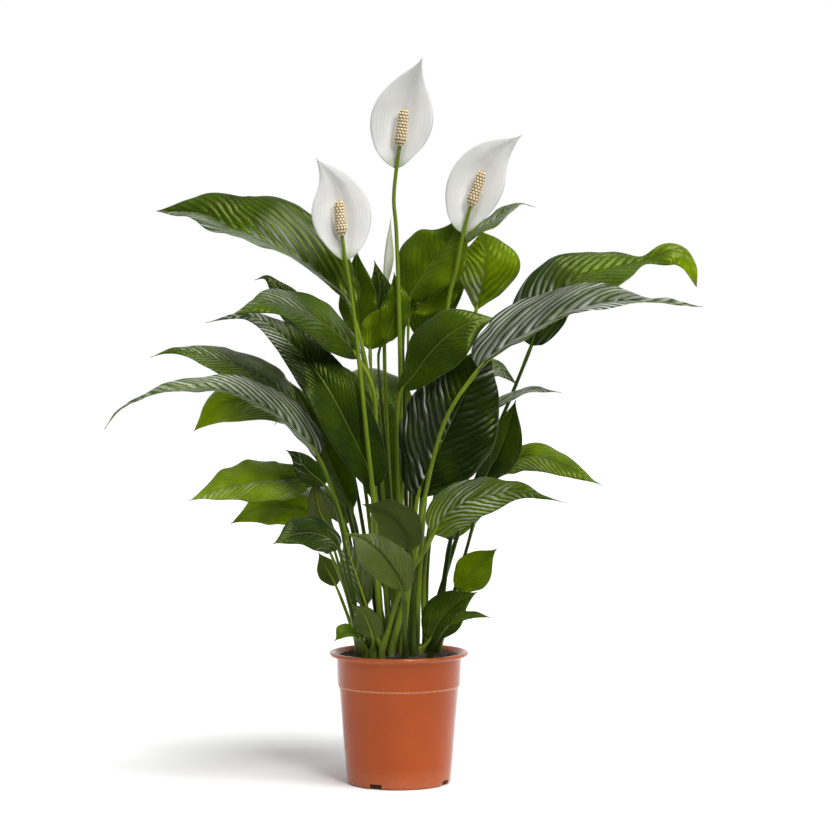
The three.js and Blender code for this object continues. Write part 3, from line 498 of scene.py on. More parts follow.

# The same leaves as in the part: the root, points up the stalk, the base of the blade, points along the
# midrib, the width, the way the upper face looks, how far the halves fold up (base, tip, in degrees; left
# and right where they differ), the waves of the edge (count, height, phase) and the outline (where it is
# widest, how fine its tip is, and for a blade that rolls over, where and how far it narrows there).
# Added here: tone, dark 0 to bright 1 at the base and the tip, partly the leaf's own green and partly
# painted light and shade; sheen, how much painted silver reflection lies on the left and the right half,
# with sheenTip where that changes; stalk, the tone of the stalk; stride, how wide the pleats are; and lean,
# how far the side veins run forward.
leaves = [
    {"name": "leaf_left_1", "root": (-14, 4), "stem": [(-30, 6, 272), (-34, 6, 468)],
     "base": (-57, 8, 576), "rib": [(-80, 10, 606), (-122, 18, 639), (-169, 30, 665), (-212, 42, 682),
     (-248, 54, 699), (-303, 68, 703)], "width": 130, "face": [(0, -0.9, 0.4)], "left": (90, 56),
     "right": (12, 4), "wave": (4, 1, 0), "shape": (0.46, 0.4), "tone": (0.38, 0.34),
     "sheen": (1.25, 0.46), "stalk": 0.9, "stride": 1.6},
    {"name": "leaf_left_2", "root": (-10, -39), "stem": [(-18, -38, 264)], "base": (-30, -34, 363),
     "rib": [(-59, -40, 433), (-92, -40, 493), (-132, -28, 539), (-181, -16, 571), (-235, -10, 563)],
     "width": 70, "face": [(0.3, -1, 0.3), (0.2, -1, 0.4), (0, -0.7, 0.7)], "left": (40, 8),
     "right": (34, 8), "shape": (0.3, 0.75), "tone": (0.16, 0.24), "sheen": (0.1, 0.1),
     "sheenTip": (1.2, 1.2)},
    {"name": "leaf_left_3", "root": (-22, -19), "stem": [(-29, -14, 347), (-29, -15, 469)],
     "base": (-49, -27, 519), "rib": [(-66, -42, 542), (-93, -66, 564), (-119, -96, 579),
     (-152, -136, 584), (-191, -176, 570)], "width": 72, "folds": (10, 4), "sheen": (0.2, 0.5),
     "stride": 1.3, "lean": 0.8},
    {"name": "leaf_left_4", "root": (-38, 12), "stem": [(-60, 20, 320)], "base": (-112, 24, 447),
     "rib": [(-150, 18, 483), (-191, 8, 508), (-229, -2, 521), (-269, -10, 530), (-302, -16, 521)],
     "width": 62, "face": [(0, -0.65, 0.75)], "left": (14, 8), "right": (12, 5), "shape": (0.4, 0.9),
     "tone": (0.46, 0.36), "sheen": (0.35, 0.55)},
    {"name": "leaf_left_5", "root": (-32, -30), "stem": [(-56, -30, 275), (-76, -36, 348)],
     "base": (-97, -46, 402), "rib": [(-123, -58, 434), (-163, -74, 464), (-205, -90, 481),
     (-251, -104, 484), (-292, -114, 477), (-326, -120, 460), (-345, -122, 436)], "width": 66,
     "face": [(0, -0.75, 0.65)], "left": (58, 50), "right": (12, 4), "wave": (4, 2, 0.3),
     "shape": (0.27, 1.2), "tone": (0.4, 0.44), "sheen": (1.45, 1.4), "sheenTip": (2.4, 2.4), "stalk": 0.7,
     "stride": 1.3},
    {"name": "leaf_left_6", "root": (-30, 26), "stem": [(-67, 28, 295)], "base": (-100, 36, 418),
     "rib": [(-142, 48, 453), (-186, 62, 467), (-224, 74, 460), (-259, 84, 427)], "width": 60,
     "face": [(0, -0.85, 0.5)], "shape": (0.6, 0.7), "tone": (0.6, 1), "sheen": (1.5, 1.5),
     "sheenTip": (0.05, 0.05)},
    {"name": "leaf_left_7", "root": (-50, -4), "stem": [(-69, -10, 274)], "base": (-104, -22, 365),
     "rib": [(-137, -44, 373), (-169, -70, 372), (-209, -102, 365), (-245, -132, 353)], "width": 74,
     "left": (25, 15), "right": (10, 4), "wave": (4, 2.4, 0.4), "tone": (0.72, 0.84),
     "sheen": (0.45, 0.1)},
    {"name": "leaf_left_8", "root": (-50, -17), "stem": [(-65, -14, 237)], "base": (-106, -8, 325),
     "rib": [(-133, -2, 337), (-168, 6, 337), (-207, 14, 316)], "width": 58, "left": (18, 10),
     "right": (10, 4), "tone": (0.8, 0.9), "sheen": (0.2, 0.1)},
    {"name": "leaf_left_9", "root": (-43, -38), "stem": [(-58, -46, 252), (-73, -54, 335)],
     "base": (-88, -62, 367), "rib": [(-108, -72, 386), (-121, -80, 402), (-134, -86, 411)], "width": 30,
     "face": [(0, -0.9, 0.3)], "tone": (0.14, 0.14), "sheen": (0.28, 0.28)},
    {"name": "leaf_left_10", "root": (-46, -27), "stem": [(-64, -36, 239)], "base": (-85, -44, 313),
     "rib": [(-97, -50, 340), (-101, -56, 378)], "width": 28, "face": [(-0.4, 0.8, 0.3)],
     "tone": (0.12, 0.12), "sheen": (0.28, 0.28)},
    {"name": "leaf_left_11", "root": (-32, -43), "stem": [(-56, -56, 229)], "base": (-72, -70, 291),
     "rib": [(-93, -90, 310), (-119, -114, 313), (-146, -138, 303)], "width": 56, "left": (16, 8),
     "right": (12, 4), "tone": (0.14, 0.16), "sheen": (0.36, 0.36)},
    {"name": "leaf_left_12", "root": (-50, 16), "stem": [(-66, 24, 209)], "base": (-78, 30, 238),
     "rib": [(-88, 34, 257), (-100, 38, 279)], "width": 28, "face": [(-0.3, 0.8, 0.3)], "tone": (0.5, 0.5),
     "sheen": (0.3, 0.3)},
    {"name": "leaf_left_13", "root": (-40, -49), "stem": [], "base": (-47, -60, 186),
     "rib": [(-61, -72, 195), (-76, -84, 183)], "width": 28, "face": [(0, -0.5, 0.8)], "tone": (0.5, 0.5),
     "sheen": (0.1, 0.1)},
    {"name": "leaf_left_14", "root": (-22, 36), "stem": [(-55, 44, 368)], "base": (-91, 66, 530),
     "rib": [(-125, 80, 570), (-148, 90, 601), (-166, 98, 621), (-183, 104, 618)], "width": 44,
     "face": [(0, -0.6, 0.8)], "folds": (20, 12), "tone": (0.15, 0.18), "sheen": (0.3, 0.3)},
    {"name": "leaf_inner_1", "root": (-36, -2), "stem": [(-45, -4, 273)], "base": (-58, -6, 334),
     "rib": [(-74, -6, 371), (-96, -6, 420), (-115, -2, 463), (-133, 2, 491)], "width": 60,
     "face": [(0.4, -0.9, 0.2)], "left": (50, 45), "right": (8, 4), "tone": (0.3, 0.4),
     "sheen": (0.1, 0.1)},
    {"name": "leaf_inner_2", "root": (-10, -12), "stem": [(-25, -6, 322)], "base": (-40, -4, 438),
     "rib": [(-60, -2, 474), (-84, 0, 503), (-106, 2, 527)], "width": 46, "face": [(0, -0.9, 0.4)],
     "tone": (0.25, 0.4), "sheen": (0.3, 0.3)},
    {"name": "leaf_right_1", "root": (34, 20), "stem": [(48, 28, 221), (95, 38, 369), (135, 42, 463)],
     "base": (164, 44, 535), "rib": [(181, 46, 582), (212, 52, 612), (258, 58, 629), (308, 62, 641),
     (340, 62, 651), (360, 60, 638), (370, 56, 608)], "width": 92, "face": [(0, -0.8, 0.6), (0, -0.8, 0.6),
     (0, -0.6, 0.8), (0.3, -1, 0.2)], "left": (12, 6), "right": (50, 0), "wave": (3, 2, 0.2),
     "shape": (0.3, 0.15, 0.68, 0.7), "tone": (0.06, 0.88), "sheen": (0.62, 0.45), "sheenTip": (0.35, 0.1),
     "stalk": 0.03, "stride": 1.3, "lean": 0.7},
    {"name": "leaf_right_2", "root": (-9, -50), "stem": [(19, -52, 277), (27, -60, 333), (54, -76, 441)],
     "base": (95, -88, 506), "rib": [(123, -102, 531), (162, -120, 554), (203, -138, 574),
     (248, -154, 585), (298, -168, 585), (350, -180, 579)], "width": 104, "face": [(-0.2, -0.9, 0.4),
     (0, -0.8, 0.6), (0, -0.75, 0.65), (0, -0.7, 0.7)], "left": (8, 0), "right": (72, 40),
     "wave": (3, 2, 0.6), "shape": (0.3, 0.65, 0.79, 0.5), "tone": (0.2, 0.28), "sheen": (1.4, 1.3),
     "stalk": 0.95, "stride": 1.5},
    {"name": "leaf_right_3", "root": (20, 26), "stem": [(26, 38, 319), (46, 56, 542)],
     "base": (60, 66, 639), "rib": [(84, 76, 671), (119, 88, 693), (148, 98, 714), (172, 106, 710)],
     "width": 50, "face": [(0, -0.2, 1)], "folds": (20, 10), "tone": (0.4, 0.45), "sheen": (0.8, 0.7)},
    {"name": "leaf_right_4", "root": (32, 32), "stem": [(38, 38, 294)], "base": (66, 50, 468),
     "rib": [(91, 58, 502), (123, 66, 507), (149, 72, 485)], "width": 48, "face": [(0, -0.6, 0.8)],
     "tone": (0.5, 0.5), "sheen": (0.8, 0.8)},
    {"name": "leaf_right_5", "root": (48, 17), "stem": [(60, 14, 271)], "base": (90, 8, 439),
     "rib": [(124, 0, 466), (157, -12, 481), (178, -18, 481), (197, -24, 478)], "width": 38,
     "face": [(0, -0.35, 1)], "folds": (16, 8), "tone": (0.3, 0.3), "sheen": (0.85, 0.8)},
    {"name": "leaf_right_6", "root": (38, -6), "stem": [(69, 0, 236)], "base": (104, 4, 366),
     "rib": [(120, 2, 400), (133, 0, 434), (143, 0, 469)], "width": 52, "face": [(-0.3, -1, 0.1)],
     "left": (40, 50), "right": (8, 4), "tone": (0.15, 0.18), "sheen": (0.2, 0.2)},
    {"name": "leaf_right_7", "root": (50, 6), "stem": [(65, 16, 222)], "base": (112, 24, 372),
     "rib": [(139, 16, 393), (170, -2, 399), (208, -26, 385), (246, -46, 366)], "width": 44,
     "face": [(0.1, -0.8, 0.6)], "folds": (12, 6), "tone": (0.66, 0.7), "sheen": (0.3, 0.3), "lean": 0.8},
    {"name": "leaf_right_8", "root": (-20, -60), "stem": [(4, -80, 246), (30, -86, 289)],
     "base": (42, -90, 311), "rib": [(56, -98, 334), (78, -108, 350), (105, -120, 359), (142, -134, 365),
     (171, -146, 358), (195, -154, 352)], "width": 60, "face": [(-0.2, -0.9, 0.45), (0, -0.8, 0.6)],
     "left": (10, 4), "right": (14, 6), "wave": (4, 2, 0.4), "shape": (0.27, 1.1), "tone": (0.66, 0.36),
     "sheen": (0.74, 0.62), "stalk": 0.6, "stride": 1.25},
    {"name": "leaf_right_9", "root": (46, -20), "stem": [(62, -20, 201)], "base": (74, -20, 235),
     "rib": [(86, -24, 255), (103, -28, 275), (119, -32, 289)], "width": 46, "face": [(-0.1, -1, 0.2)],
     "folds": (10, 4), "tone": (0.75, 0.7), "sheen": (0.1, 0.2)},
    {"name": "leaf_right_10", "root": (27, -38), "stem": [], "base": (37, -42, 179),
     "rib": [(50, -47, 204), (69, -52, 225), (95, -56, 239)], "width": 50, "face": [(-0.2, -0.9, 0.3)],
     "left": (30, 40), "right": (8, 4), "tone": (0.3, 0.35), "sheen": (0.3, 0.3)},
    {"name": "leaf_right_11", "root": (39, -47), "stem": [], "base": (52, -68, 192),
     "rib": [(61, -82, 206), (77, -94, 214), (94, -104, 216), (109, -112, 214)], "width": 24,
     "face": [(0, -0.5, 0.8)], "folds": (16, 8), "tone": (0.4, 0.4), "sheen": (0.7, 0.5)},
    {"name": "leaf_mid_1", "root": (4, -38), "stem": [(16, -28, 275)], "base": (23, -26, 351),
     "rib": [(40, -32, 391), (60, -36, 435), (81, -38, 479), (101, -36, 524), (113, -30, 548)],
     "width": 118, "face": [(-0.1, -1, 0.1)], "folds": (8, 2), "wave": (4, 2, 0.2), "tone": (0.09, 0.17),
     "sheen": (1.2, 0.15), "sheenTip": (0.12, 0.95), "stalk": 0.9, "lean": 0.5},
    {"name": "leaf_mid_2", "root": (-6, -26), "stem": [(-1, -28, 324), (-2, -40, 433)],
     "base": (2, -48, 477), "rib": [(19, -56, 500), (38, -62, 526), (62, -64, 549), (88, -62, 563),
     (118, -54, 568)], "width": 72, "face": [(-0.2, -0.9, 0.4)], "left": (10, 6), "right": (10, 4),
     "shape": (0.52, 0.7), "tone": (0.32, 0.28), "sheen": (0.1, 0.1), "stalk": 0.4, "lean": 0.8},
    {"name": "leaf_top_1", "root": (10, 2), "stem": [(9, 8, 321), (6, 12, 487), (5, 14, 542)],
     "base": (12, 16, 589), "rib": [(30, 19, 622), (47, 22, 646), (63, 26, 667), (73, 30, 694)],
     "width": 92, "face": [(-0.2, -1, 0.2)], "left": (8, 4), "right": (26, 34), "shape": (0.5, 0.7),
     "tone": (0.5, 0.56), "sheen": (0.05, 0.1), "lean": 0.6},
    {"name": "leaf_top_2", "root": (14, 14), "stem": [(14, 26, 369)], "base": (12, 40, 569),
     "rib": [(31, 44, 589), (52, 46, 609), (68, 48, 625), (83, 50, 639)], "width": 54,
     "face": [(0, -0.8, 0.5)], "shape": (0.55, 0.7), "tone": (0.66, 0.7), "sheen": (0.1, 0.2)},
    {"name": "leaf_top_3", "root": (32, 6), "stem": [(32, 14, 271), (63, 24, 443)], "base": (95, 20, 579),
     "rib": [(102, 16, 609), (107, 14, 638), (105, 18, 660), (101, 28, 677)], "width": 84,
     "face": [(0, -1, 0.1)], "folds": (8, 4), "wave": (3, 2.6, 0.3), "shape": (0.56, 0.8),
     "tone": (0.63, 0.74), "sheen": (0.98, 0.5), "sheenTip": (0.35, 0.1), "lean": 0.6},
    {"name": "leaf_top_4", "root": (-20, 18), "stem": [(-33, 28, 369)], "base": (-47, 39, 542),
     "rib": [(-50, 41, 573), (-52, 43, 610), (-53, 45, 656)], "width": 50, "face": [(-0.3, -0.9, 0)],
     "tone": (0.4, 0.42), "sheen": (0.1, 0.1)},
    {"name": "leaf_top_5", "root": (-10, 30), "stem": [(-26, 44, 368)], "base": (-36, 58, 536),
     "rib": [(-30, 62, 570), (-24, 64, 605), (-31, 66, 642)], "width": 46, "face": [(0.3, -0.9, 0.2)],
     "tone": (0.2, 0.3), "sheen": (0.5, 0.5)},
    {"name": "leaf_top_6", "root": (-2, 6), "stem": [(-21, 14, 370), (-33, 18, 493)],
     "base": (-36, 20, 530), "rib": [(-28, 23, 552), (-17, 25, 572), (-6, 27, 586)], "width": 42,
     "face": [(0, -0.9, 0.3)], "tone": (0.62, 0.68), "sheen": (0.1, 0.1)},
    {"name": "leaf_top_7", "root": (0, 20), "stem": [(-13, 8, 370), (-25, 2, 515)], "base": (-16, -1, 539),
     "rib": [(-7, -3, 566), (-2, -2, 593), (-6, 0, 625)], "width": 38, "face": [(0.2, -0.9, 0.1)],
     "folds": (10, 8), "tone": (0.55, 0.5), "sheen": (0.1, 0.1)},
    {"name": "leaf_front_1", "root": (8, -60), "stem": [(7, -88, 211)], "base": (6, -100, 243),
     "rib": [(-6, -118, 271), (-23, -142, 296), (-41, -164, 312), (-60, -182, 319)], "width": 62,
     "face": [(0.3, 0.9, 0.3)], "folds": (10, 4), "tone": (0.58, 0.58), "sheen": (0.5, 0.34)},
    {"name": "leaf_front_2", "root": (17, -54), "stem": [(19, -64, 230)], "base": (15, -68, 290),
     "rib": [(6, -74, 315), (-10, -78, 333), (-28, -80, 341), (-43, -80, 346)], "width": 56,
     "face": [(0.3, 0.9, 0.3)], "folds": (10, 4), "tone": (0.26, 0.26), "sheen": (0.3, 0.3)},
    {"name": "leaf_front_3", "root": (-31, -55), "stem": [], "base": (-30, -64, 182),
     "rib": [(-34, -70, 199), (-43, -76, 217), (-55, -80, 226)], "width": 36, "face": [(0.3, 0.9, 0.2)],
     "folds": (10, 4), "tone": (0.35, 0.35), "sheen": (0.2, 0.2)},
    {"name": "leaf_front_4", "root": (-21, -44), "stem": [], "base": (-39, -36, 220),
     "rib": [(-49, -36, 251), (-59, -36, 281), (-66, -36, 306)], "width": 40, "face": [(0.2, 0.9, 0.1)],
     "folds": (10, 4), "tone": (0.35, 0.35), "sheen": (0.6, 0.6)},
    {"name": "leaf_back_1", "root": (-26, 48), "stem": [(-36, 76, 300)], "base": (-52, 106, 400),
     "rib": [(-76, 148, 452), (-108, 196, 474), (-140, 238, 462), (-168, 274, 430)], "width": 84,
     "face": [(0.4, -0.8, 0.5), (0.1, -0.3, 1), (-0.3, 0.5, 1)], "folds": (12, 6)},
    {"name": "leaf_back_2", "root": (4, 54), "stem": [(-4, 62, 240)], "base": (-12, 70, 325),
     "rib": [(-16, 84, 375), (-22, 108, 432), (-30, 146, 486), (-38, 196, 506), (-46, 244, 488)],
     "width": 96, "face": [(0, -1, 0.3), (0, -0.9, 0.5), (0, 0.1, 1), (0, 0.5, 1)], "folds": (12, 6)},
    {"name": "leaf_back_3", "root": (18, 42), "stem": [(30, 70, 320)], "base": (44, 102, 440),
     "rib": [(58, 142, 492), (78, 190, 514), (98, 232, 506), (116, 270, 480)], "width": 86,
     "face": [(-0.4, -0.8, 0.5), (-0.1, -0.3, 1), (0.3, 0.5, 1)], "folds": (12, 6)},
    {"name": "leaf_back_4", "root": (-38, 36), "stem": [(-50, 58, 230)], "base": (-68, 84, 310),
     "rib": [(-94, 116, 344), (-124, 150, 352), (-152, 182, 334)], "width": 72, "face": [(0.5, -0.7, 0.5),
     (0, -0.2, 1), (-0.3, 0.3, 1)], "folds": (12, 6)},
    {"name": "leaf_back_5", "root": (42, 40), "stem": [(52, 60, 220)], "base": (64, 86, 290),
     "rib": [(80, 120, 330), (96, 158, 342), (110, 194, 326)], "width": 68, "face": [(-0.4, -0.8, 0.5),
     (0, -0.2, 1), (0.2, 0.4, 1)], "folds": (12, 6)},
    {"name": "leaf_back_6", "root": (-8, 62), "stem": [], "base": (-6, 78, 212), "rib": [(0, 96, 250),
     (6, 124, 282), (12, 162, 292), (16, 202, 272)], "width": 64, "face": [(0, -1, 0.4), (0, -0.4, 1),
     (0, 0.4, 1)], "folds": (12, 6)},
    {"name": "leaf_back_7", "root": (10, 34), "stem": [(20, 70, 380)], "base": (32, 98, 540),
     "rib": [(42, 120, 604), (54, 150, 646), (64, 186, 660), (72, 222, 644)], "width": 80,
     "face": [(-0.1, -1, 0.4), (-0.1, -0.4, 1), (0.1, 0.4, 1)], "folds": (12, 6)},
]
leaves = [{**usual, **leaf} for leaf in leaves]


def smooth(value, low, high):
    share = min(max((value - low) / (high - low), 0.0), 1.0)
    return share * share * (3 - 2 * share)


def lerp(a, b, share):
    return a + (b - a) * share


def along(points, share):
    # a value, or a vector, run through evenly spaced points
    if len(points) == 1:
        return points[0]
    place = min(max(share, 0.0), 1.0) * (len(points) - 1)
    low = min(int(place), len(points) - 2)
    return lerp(points[low], points[low + 1], place - low)


class Curve:
    # a smooth run through the points, as t goes from 0 to 1
    def __init__(self, points):
        points = [Vector(p) for p in points]
        first = points[0] * 2 - points[1]
        last = points[-1] * 2 - points[-2]
        self.points = [first, *points, last]
        self.spans = len(points) - 1

    def at(self, t):
        t = min(max(t, 0.0), 1.0) * self.spans
        low = min(int(t), self.spans - 1)
        a, b, c, d = self.points[low:low + 4]
        t -= low
        return 0.5 * ((b * 2) + (c - a) * t + (a * 2 - b * 5 + c * 4 - d) * t * t
                      + (b * 3 - a - c * 3 + d) * t * t * t)

    def tangent(self, t, step=0.002):
        return (self.at(min(t + step, 1)) - self.at(max(t - step, 0))).normalized()

    def part(self, start, end, count=80):
        # the lengths along a part of the run, so that shares of it can be turned into t
        ts = [lerp(start, end, i / count) for i in range(count + 1)]
        lengths = [0.0]
        for a, b in zip(ts, ts[1:]):
            lengths.append(lengths[-1] + (self.at(b) - self.at(a)).length)
        return ts, lengths


def partAt(part, share):
    ts, lengths = part
    wanted = lengths[-1] * min(max(share, 0.0), 1.0)
    for i in range(len(ts) - 1):
        if lengths[i + 1] >= wanted:
            span = max(lengths[i + 1] - lengths[i], 1e-9)
            return lerp(ts[i], ts[i + 1], (wanted - lengths[i]) / span)
    return ts[-1]


def halfWidth(leaf, share):
    widest, taper, rolledAt, rolledBy = (*leaf["shape"], 0, 0)[:4]
    swing = math.sin(math.pi * share ** (math.log(0.5) / math.log(widest)))
    rolled = 1 - rolledBy * math.exp(-(((share - rolledAt) / leafForm["rollSpan"]) ** 2))
    return leaf["width"] / 2 * rolled * max(swing, 0.0) ** (leafForm["fullness"] + taper * share)


class Blade:
    # the surface of one blade or hood: its midrib, how it folds and how its edge waves
    def __init__(self, curve, start, leaf, crease, veinStep):
        self.curve = curve
        self.run = curve.part(start, 1.0)
        self.length = self.run[1][-1]
        self.leaf = leaf
        self.crease = crease
        self.veinStep = veinStep
        self.faces = [Vector(f).normalized() for f in leaf["face"]]

    def frame(self, share):
        t = partAt(self.run, share)
        tangent = self.curve.tangent(t)
        side = tangent.cross(along(self.faces, share)).normalized()
        return self.curve.at(t), tangent, side, side.cross(tangent).normalized()

    def ripple(self, share, reach, sign):
        form = rippleForm
        if not self.leaf["rippled"]:
            return 0.0
        run = share * self.length / form["length"]
        phase = self.leaf["wave"][2] * form["shift"] + (0 if sign < 0 else form["otherHalf"])
        stray = form["stray"] * math.sin(run * form["strayStep"] + phase * form["strayShift"])
        ends = smooth(share, 0.0, form["ends"]) * smooth(1 - share, 0.0, form["ends"])
        return form["height"] * reach ** form["power"] * math.sin(run * math.pi + phase + stray) * ends

    def point(self, share, v):
        # the place and the normal at a share along the blade, and v across it from -1 left to 1 right
        at, tangent, side, up = self.frame(share)
        leaf = self.leaf
        sign = -1 if v < 0 else 1
        reach = abs(v)
        half = max(halfWidth(leaf, share), leaf["least"] * (1 - share) + leafForm["tipHalf"])
        folds = leaf.get("left" if v < 0 else "right", leaf["folds"])
        fold = math.radians(lerp(*folds, share))
        count, height, phase = leaf["wave"]
        swell = math.sqrt(max(math.sin(math.pi * min(share * leafForm["waveReach"], 1)), 0))
        wave = math.sin(2 * math.pi * (count * share + phase) + (0 if v < 0 else leafForm["waveShift"]))
        rise = height * (leaf["width"] / leafForm["waveWidth"]) * reach * reach * swell * wave
        rise += self.ripple(share, reach, sign)
        turn = fold - leafForm["arch"] * reach
        normal = up * math.cos(turn) - side * sign * math.sin(turn) if v else up
        lean = fold - leafForm["arch"] * reach / 2
        lift = half * reach * math.sin(lean) * smooth(reach, 0.0, self.crease)
        place = at + side * sign * half * reach * math.cos(lean)
        return place + up * lift + normal * rise, normal


def newShell():
    bm = bmesh.new()
    for name in ("veins", "spread", "tone"):
        bm.loops.layers.uv.new(name)
    return bm


def facesOn(verts):
    return {face for vert in verts for face in vert.link_faces}


def paint(verts, material):
    for face in facesOn(verts):
        face.material_index = material


def newPiece(replaced, bm, materials):
    # the finer piece that stands in for the part's own node
    mesh = bpy.data.meshes.new(replaced + "_fine")
    bm.to_mesh(mesh)
    bm.free()
    for material in materials:
        mesh.materials.append(material)
    piece = linkNew(mesh, replaced + "_fine")
    for polygon in mesh.polygons:
        polygon.use_smooth = True
    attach(piece, "root")
    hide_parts(replaced)
    return piece


def addBlade(bm, blade, rows, columns, thickness):
    # a flat grid, raised into a thin plate, each vertex then moved to its place on the blade
    veins, spread, tone = (bm.loops.layers.uv[name] for name in ("veins", "spread", "tone"))
    lower = bmesh.ops.create_grid(bm, x_segments=rows, y_segments=columns * 2, size=1)["verts"]
    faces = list(facesOn(lower))
    leaf = blade.leaf
    near, far = leafForm["veinLean"]
    sheenTip = leaf.get("sheenTip", leaf["sheen"])
    for face in faces:
        sign = -1 if face.calc_center_median().y > 0 else 1
        half = 0 if sign < 0 else 1
        for loop in face.loops:
            share = (loop.vert.co.x + 1) / 2
            across = halfWidth(leaf, share) * abs(loop.vert.co.y)
            advance = (near * across + far * across * across / (leaf["width"] / 2)) * leaf["lean"]
            count = (share * blade.length - advance) / blade.veinStep + leafForm["veinStart"]
            if sign < 0:
                count += 0.5  # the veins of the two halves leave the midrib in turn
            loop[veins].uv = (count, across * sign / 10)  # in centimetres
            loop[spread].uv = (share, -loop.vert.co.y)
            sheen = lerp(leaf["sheen"][half], sheenTip[half], smooth(share, *leafForm["sheenTurn"]))
            loop[tone].uv = (lerp(*leaf["tone"], share), sheen)
    raised = bmesh.ops.extrude_face_region(bm, geom=faces, use_keep_orig=True)["geom"]
    upper = [part for part in raised if isinstance(part, bmesh.types.BMVert)]
    bmesh.ops.reverse_faces(bm, faces=faces)
    paint(lower, 1)
    paint(upper, 0)  # the edge of the plate too
    for verts, side in ((lower, -0.5), (upper, 0.5)):
        for vert in verts:
            place, normal = blade.point((vert.co.x + 1) / 2, -vert.co.y)
            vert.co = (place + normal * thickness * side) * mm


def addTube(bm, stations, shares, sides, material=0, groove=0.0, shade=0.6):
    # a tube of rings, each (place, side, up, half width, half height); closed at both ends
    spread, tone = bm.loops.layers.uv["spread"], bm.loops.layers.uv["tone"]
    last = len(stations) - 1
    verts = bmesh.ops.create_grid(bm, x_segments=last, y_segments=sides, size=1)["verts"]
    for face in facesOn(verts):
        for loop in face.loops:
            row = round((loop.vert.co.x + 1) / 2 * last)
            loop[spread].uv = (shares[row], (loop.vert.co.y + 1) / 2)
            loop[tone].uv = (shade, 0)
    paint(verts, material)
    for vert in verts:
        row = round((vert.co.x + 1) / 2 * last)
        turn = -vert.co.y * math.pi
        place, side, up, wide, high = stations[row]
        facing = math.cos(turn)
        dip = groove * smooth(facing, *stalkForm["grooveSides"])
        dip *= smooth(shares[row], *stalkForm["grooveStart"])
        vert.co = (place + side * wide * math.sin(turn) + up * high * facing * (1 - dip)) * mm
    bmesh.ops.remove_doubles(bm, verts=verts, dist=1e-7)
    rims = [edge for edge in bm.edges if edge.is_boundary]
    for face in bmesh.ops.holes_fill(bm, edges=rims, sides=sides + 2)["faces"]:
        face.material_index = material


def stalkCurve(root, points):
    return Curve([(*root, stalkForm["collar"]), *points])


def stalkPlaces(root, curve, end):
    # each share up the stalk, with its place and direction
    foot = Vector((*root, stalkForm["low"]))
    run = curve.part(0.0, end)
    rows = max(int(run[1][-1] / stalkForm["rowStep"]), stalkForm["fewest"])
    for i in range(-2, rows + 1):  # the first two are in the soil
        share = max(i / rows, 0.0)
        t = partAt(run, share)
        place = curve.at(t) if i >= 0 else lerp(foot, curve.at(0.0), (i + 2) / 2)
        yield share, place, curve.tangent(t)


def stalkRadius(share, top):
    # from the root's radius to the one at the top
    return top + (stalkForm["root"] - top) * (1 - share) ** stalkForm["taper"]


def stalkStations(leaf, curve, baseAt, blade):
    form = stalkForm
    thin = form["small" if leaf["width"] < form["smallWidth"] else "large"]
    joint = form["joint"]
    jointShare = joint["length"] / curve.part(0.0, baseAt)[1][-1]
    low, high = (1 - jointShare * reach for reach in joint["start"])
    up = blade.frame(0.0)[3]
    outwards = Vector((*leaf["root"], 0))
    outwards = outwards.normalized() if outwards.length > form["middle"] else Vector((0, -1, 0))
    stations, shares = [], []
    for share, place, tangent in stalkPlaces(leaf["root"], curve, baseAt):
        # the groove looks inwards at the foot and turns to the blade's own upper side
        want = lerp(-outwards, up, smooth(share, *form["twist"]))
        across = tangent.cross(want).normalized()
        facing = across.cross(tangent).normalized()
        radius = stalkRadius(share, thin)
        wide = radius * (1 + form["flare"] * (1 - smooth(share, 0.0, form["flareEnd"])))
        swollen = smooth(share, low, high) * (1 - smooth(share, 1 - jointShare * joint["end"], 1.0))
        size = 1 + joint["swell"] * swollen
        stations.append((place, across, facing, wide * size, radius * size))
        shares.append(share * 0.999)  # the rib's own shares start at 1
    rows = max(int(blade.length / ribForm["rowStep"]), ribForm["fewest"])
    for i in range(1, rows + 1):
        share = i / rows * ribForm["reach"]
        place, tangent, across, facing = blade.frame(share)
        radius = thin * ribForm["size"] * (1 - share) ** ribForm["taper"] + ribForm["least"]
        sunk = smooth(share, 0.0, ribForm["sinkEnd"]) * (radius * ribForm["sunk"])
        stations.append((place - facing * sunk, across, facing, radius * ribForm["wide"], radius))
        shares.append(1.0 + share)
    return stations, shares


def buildLeaf(leaf):
    curve = stalkCurve(leaf["root"], [*leaf["stem"], leaf["base"], *leaf["rib"]])
    steps = len(leaf["stem"]) + 1
    baseAt = steps / (steps + len(leaf["rib"]))
    form = leafForm
    broad = min(leaf["width"] / form["veinWidth"], form["veinMost"])
    veinStep = form["veinStep"] * (form["veinNarrow"] + form["veinGain"] * broad) * leaf["stride"]
    blade = Blade(curve, baseAt, leaf, form["crease"], veinStep)
    bm = newShell()
    fewest, most = form["rows"]
    rows = min(max(round(blade.length / form["rowStep"]), fewest), most)
    addBlade(bm, blade, rows, form["columns"], form["thickness"])
    byX, byY, power = stalkForm["tones"]
    x, y = leaf["root"]
    shade = leaf.get("stalk", (0.5 + 0.5 * math.sin(x * byX + y * byY)) ** power)
    stations, shares = stalkStations(leaf, curve, baseAt, blade)
    addTube(bm, stations, shares, stalkForm["sides"], 2, stalkForm["groove"], shade)
    piece = newPiece(leaf["name"], bm, [leafTop, leafUnder, stalkFinish])


for leaf in leaves:
    buildLeaf(leaf)
print("leaves built:", len(leaves))

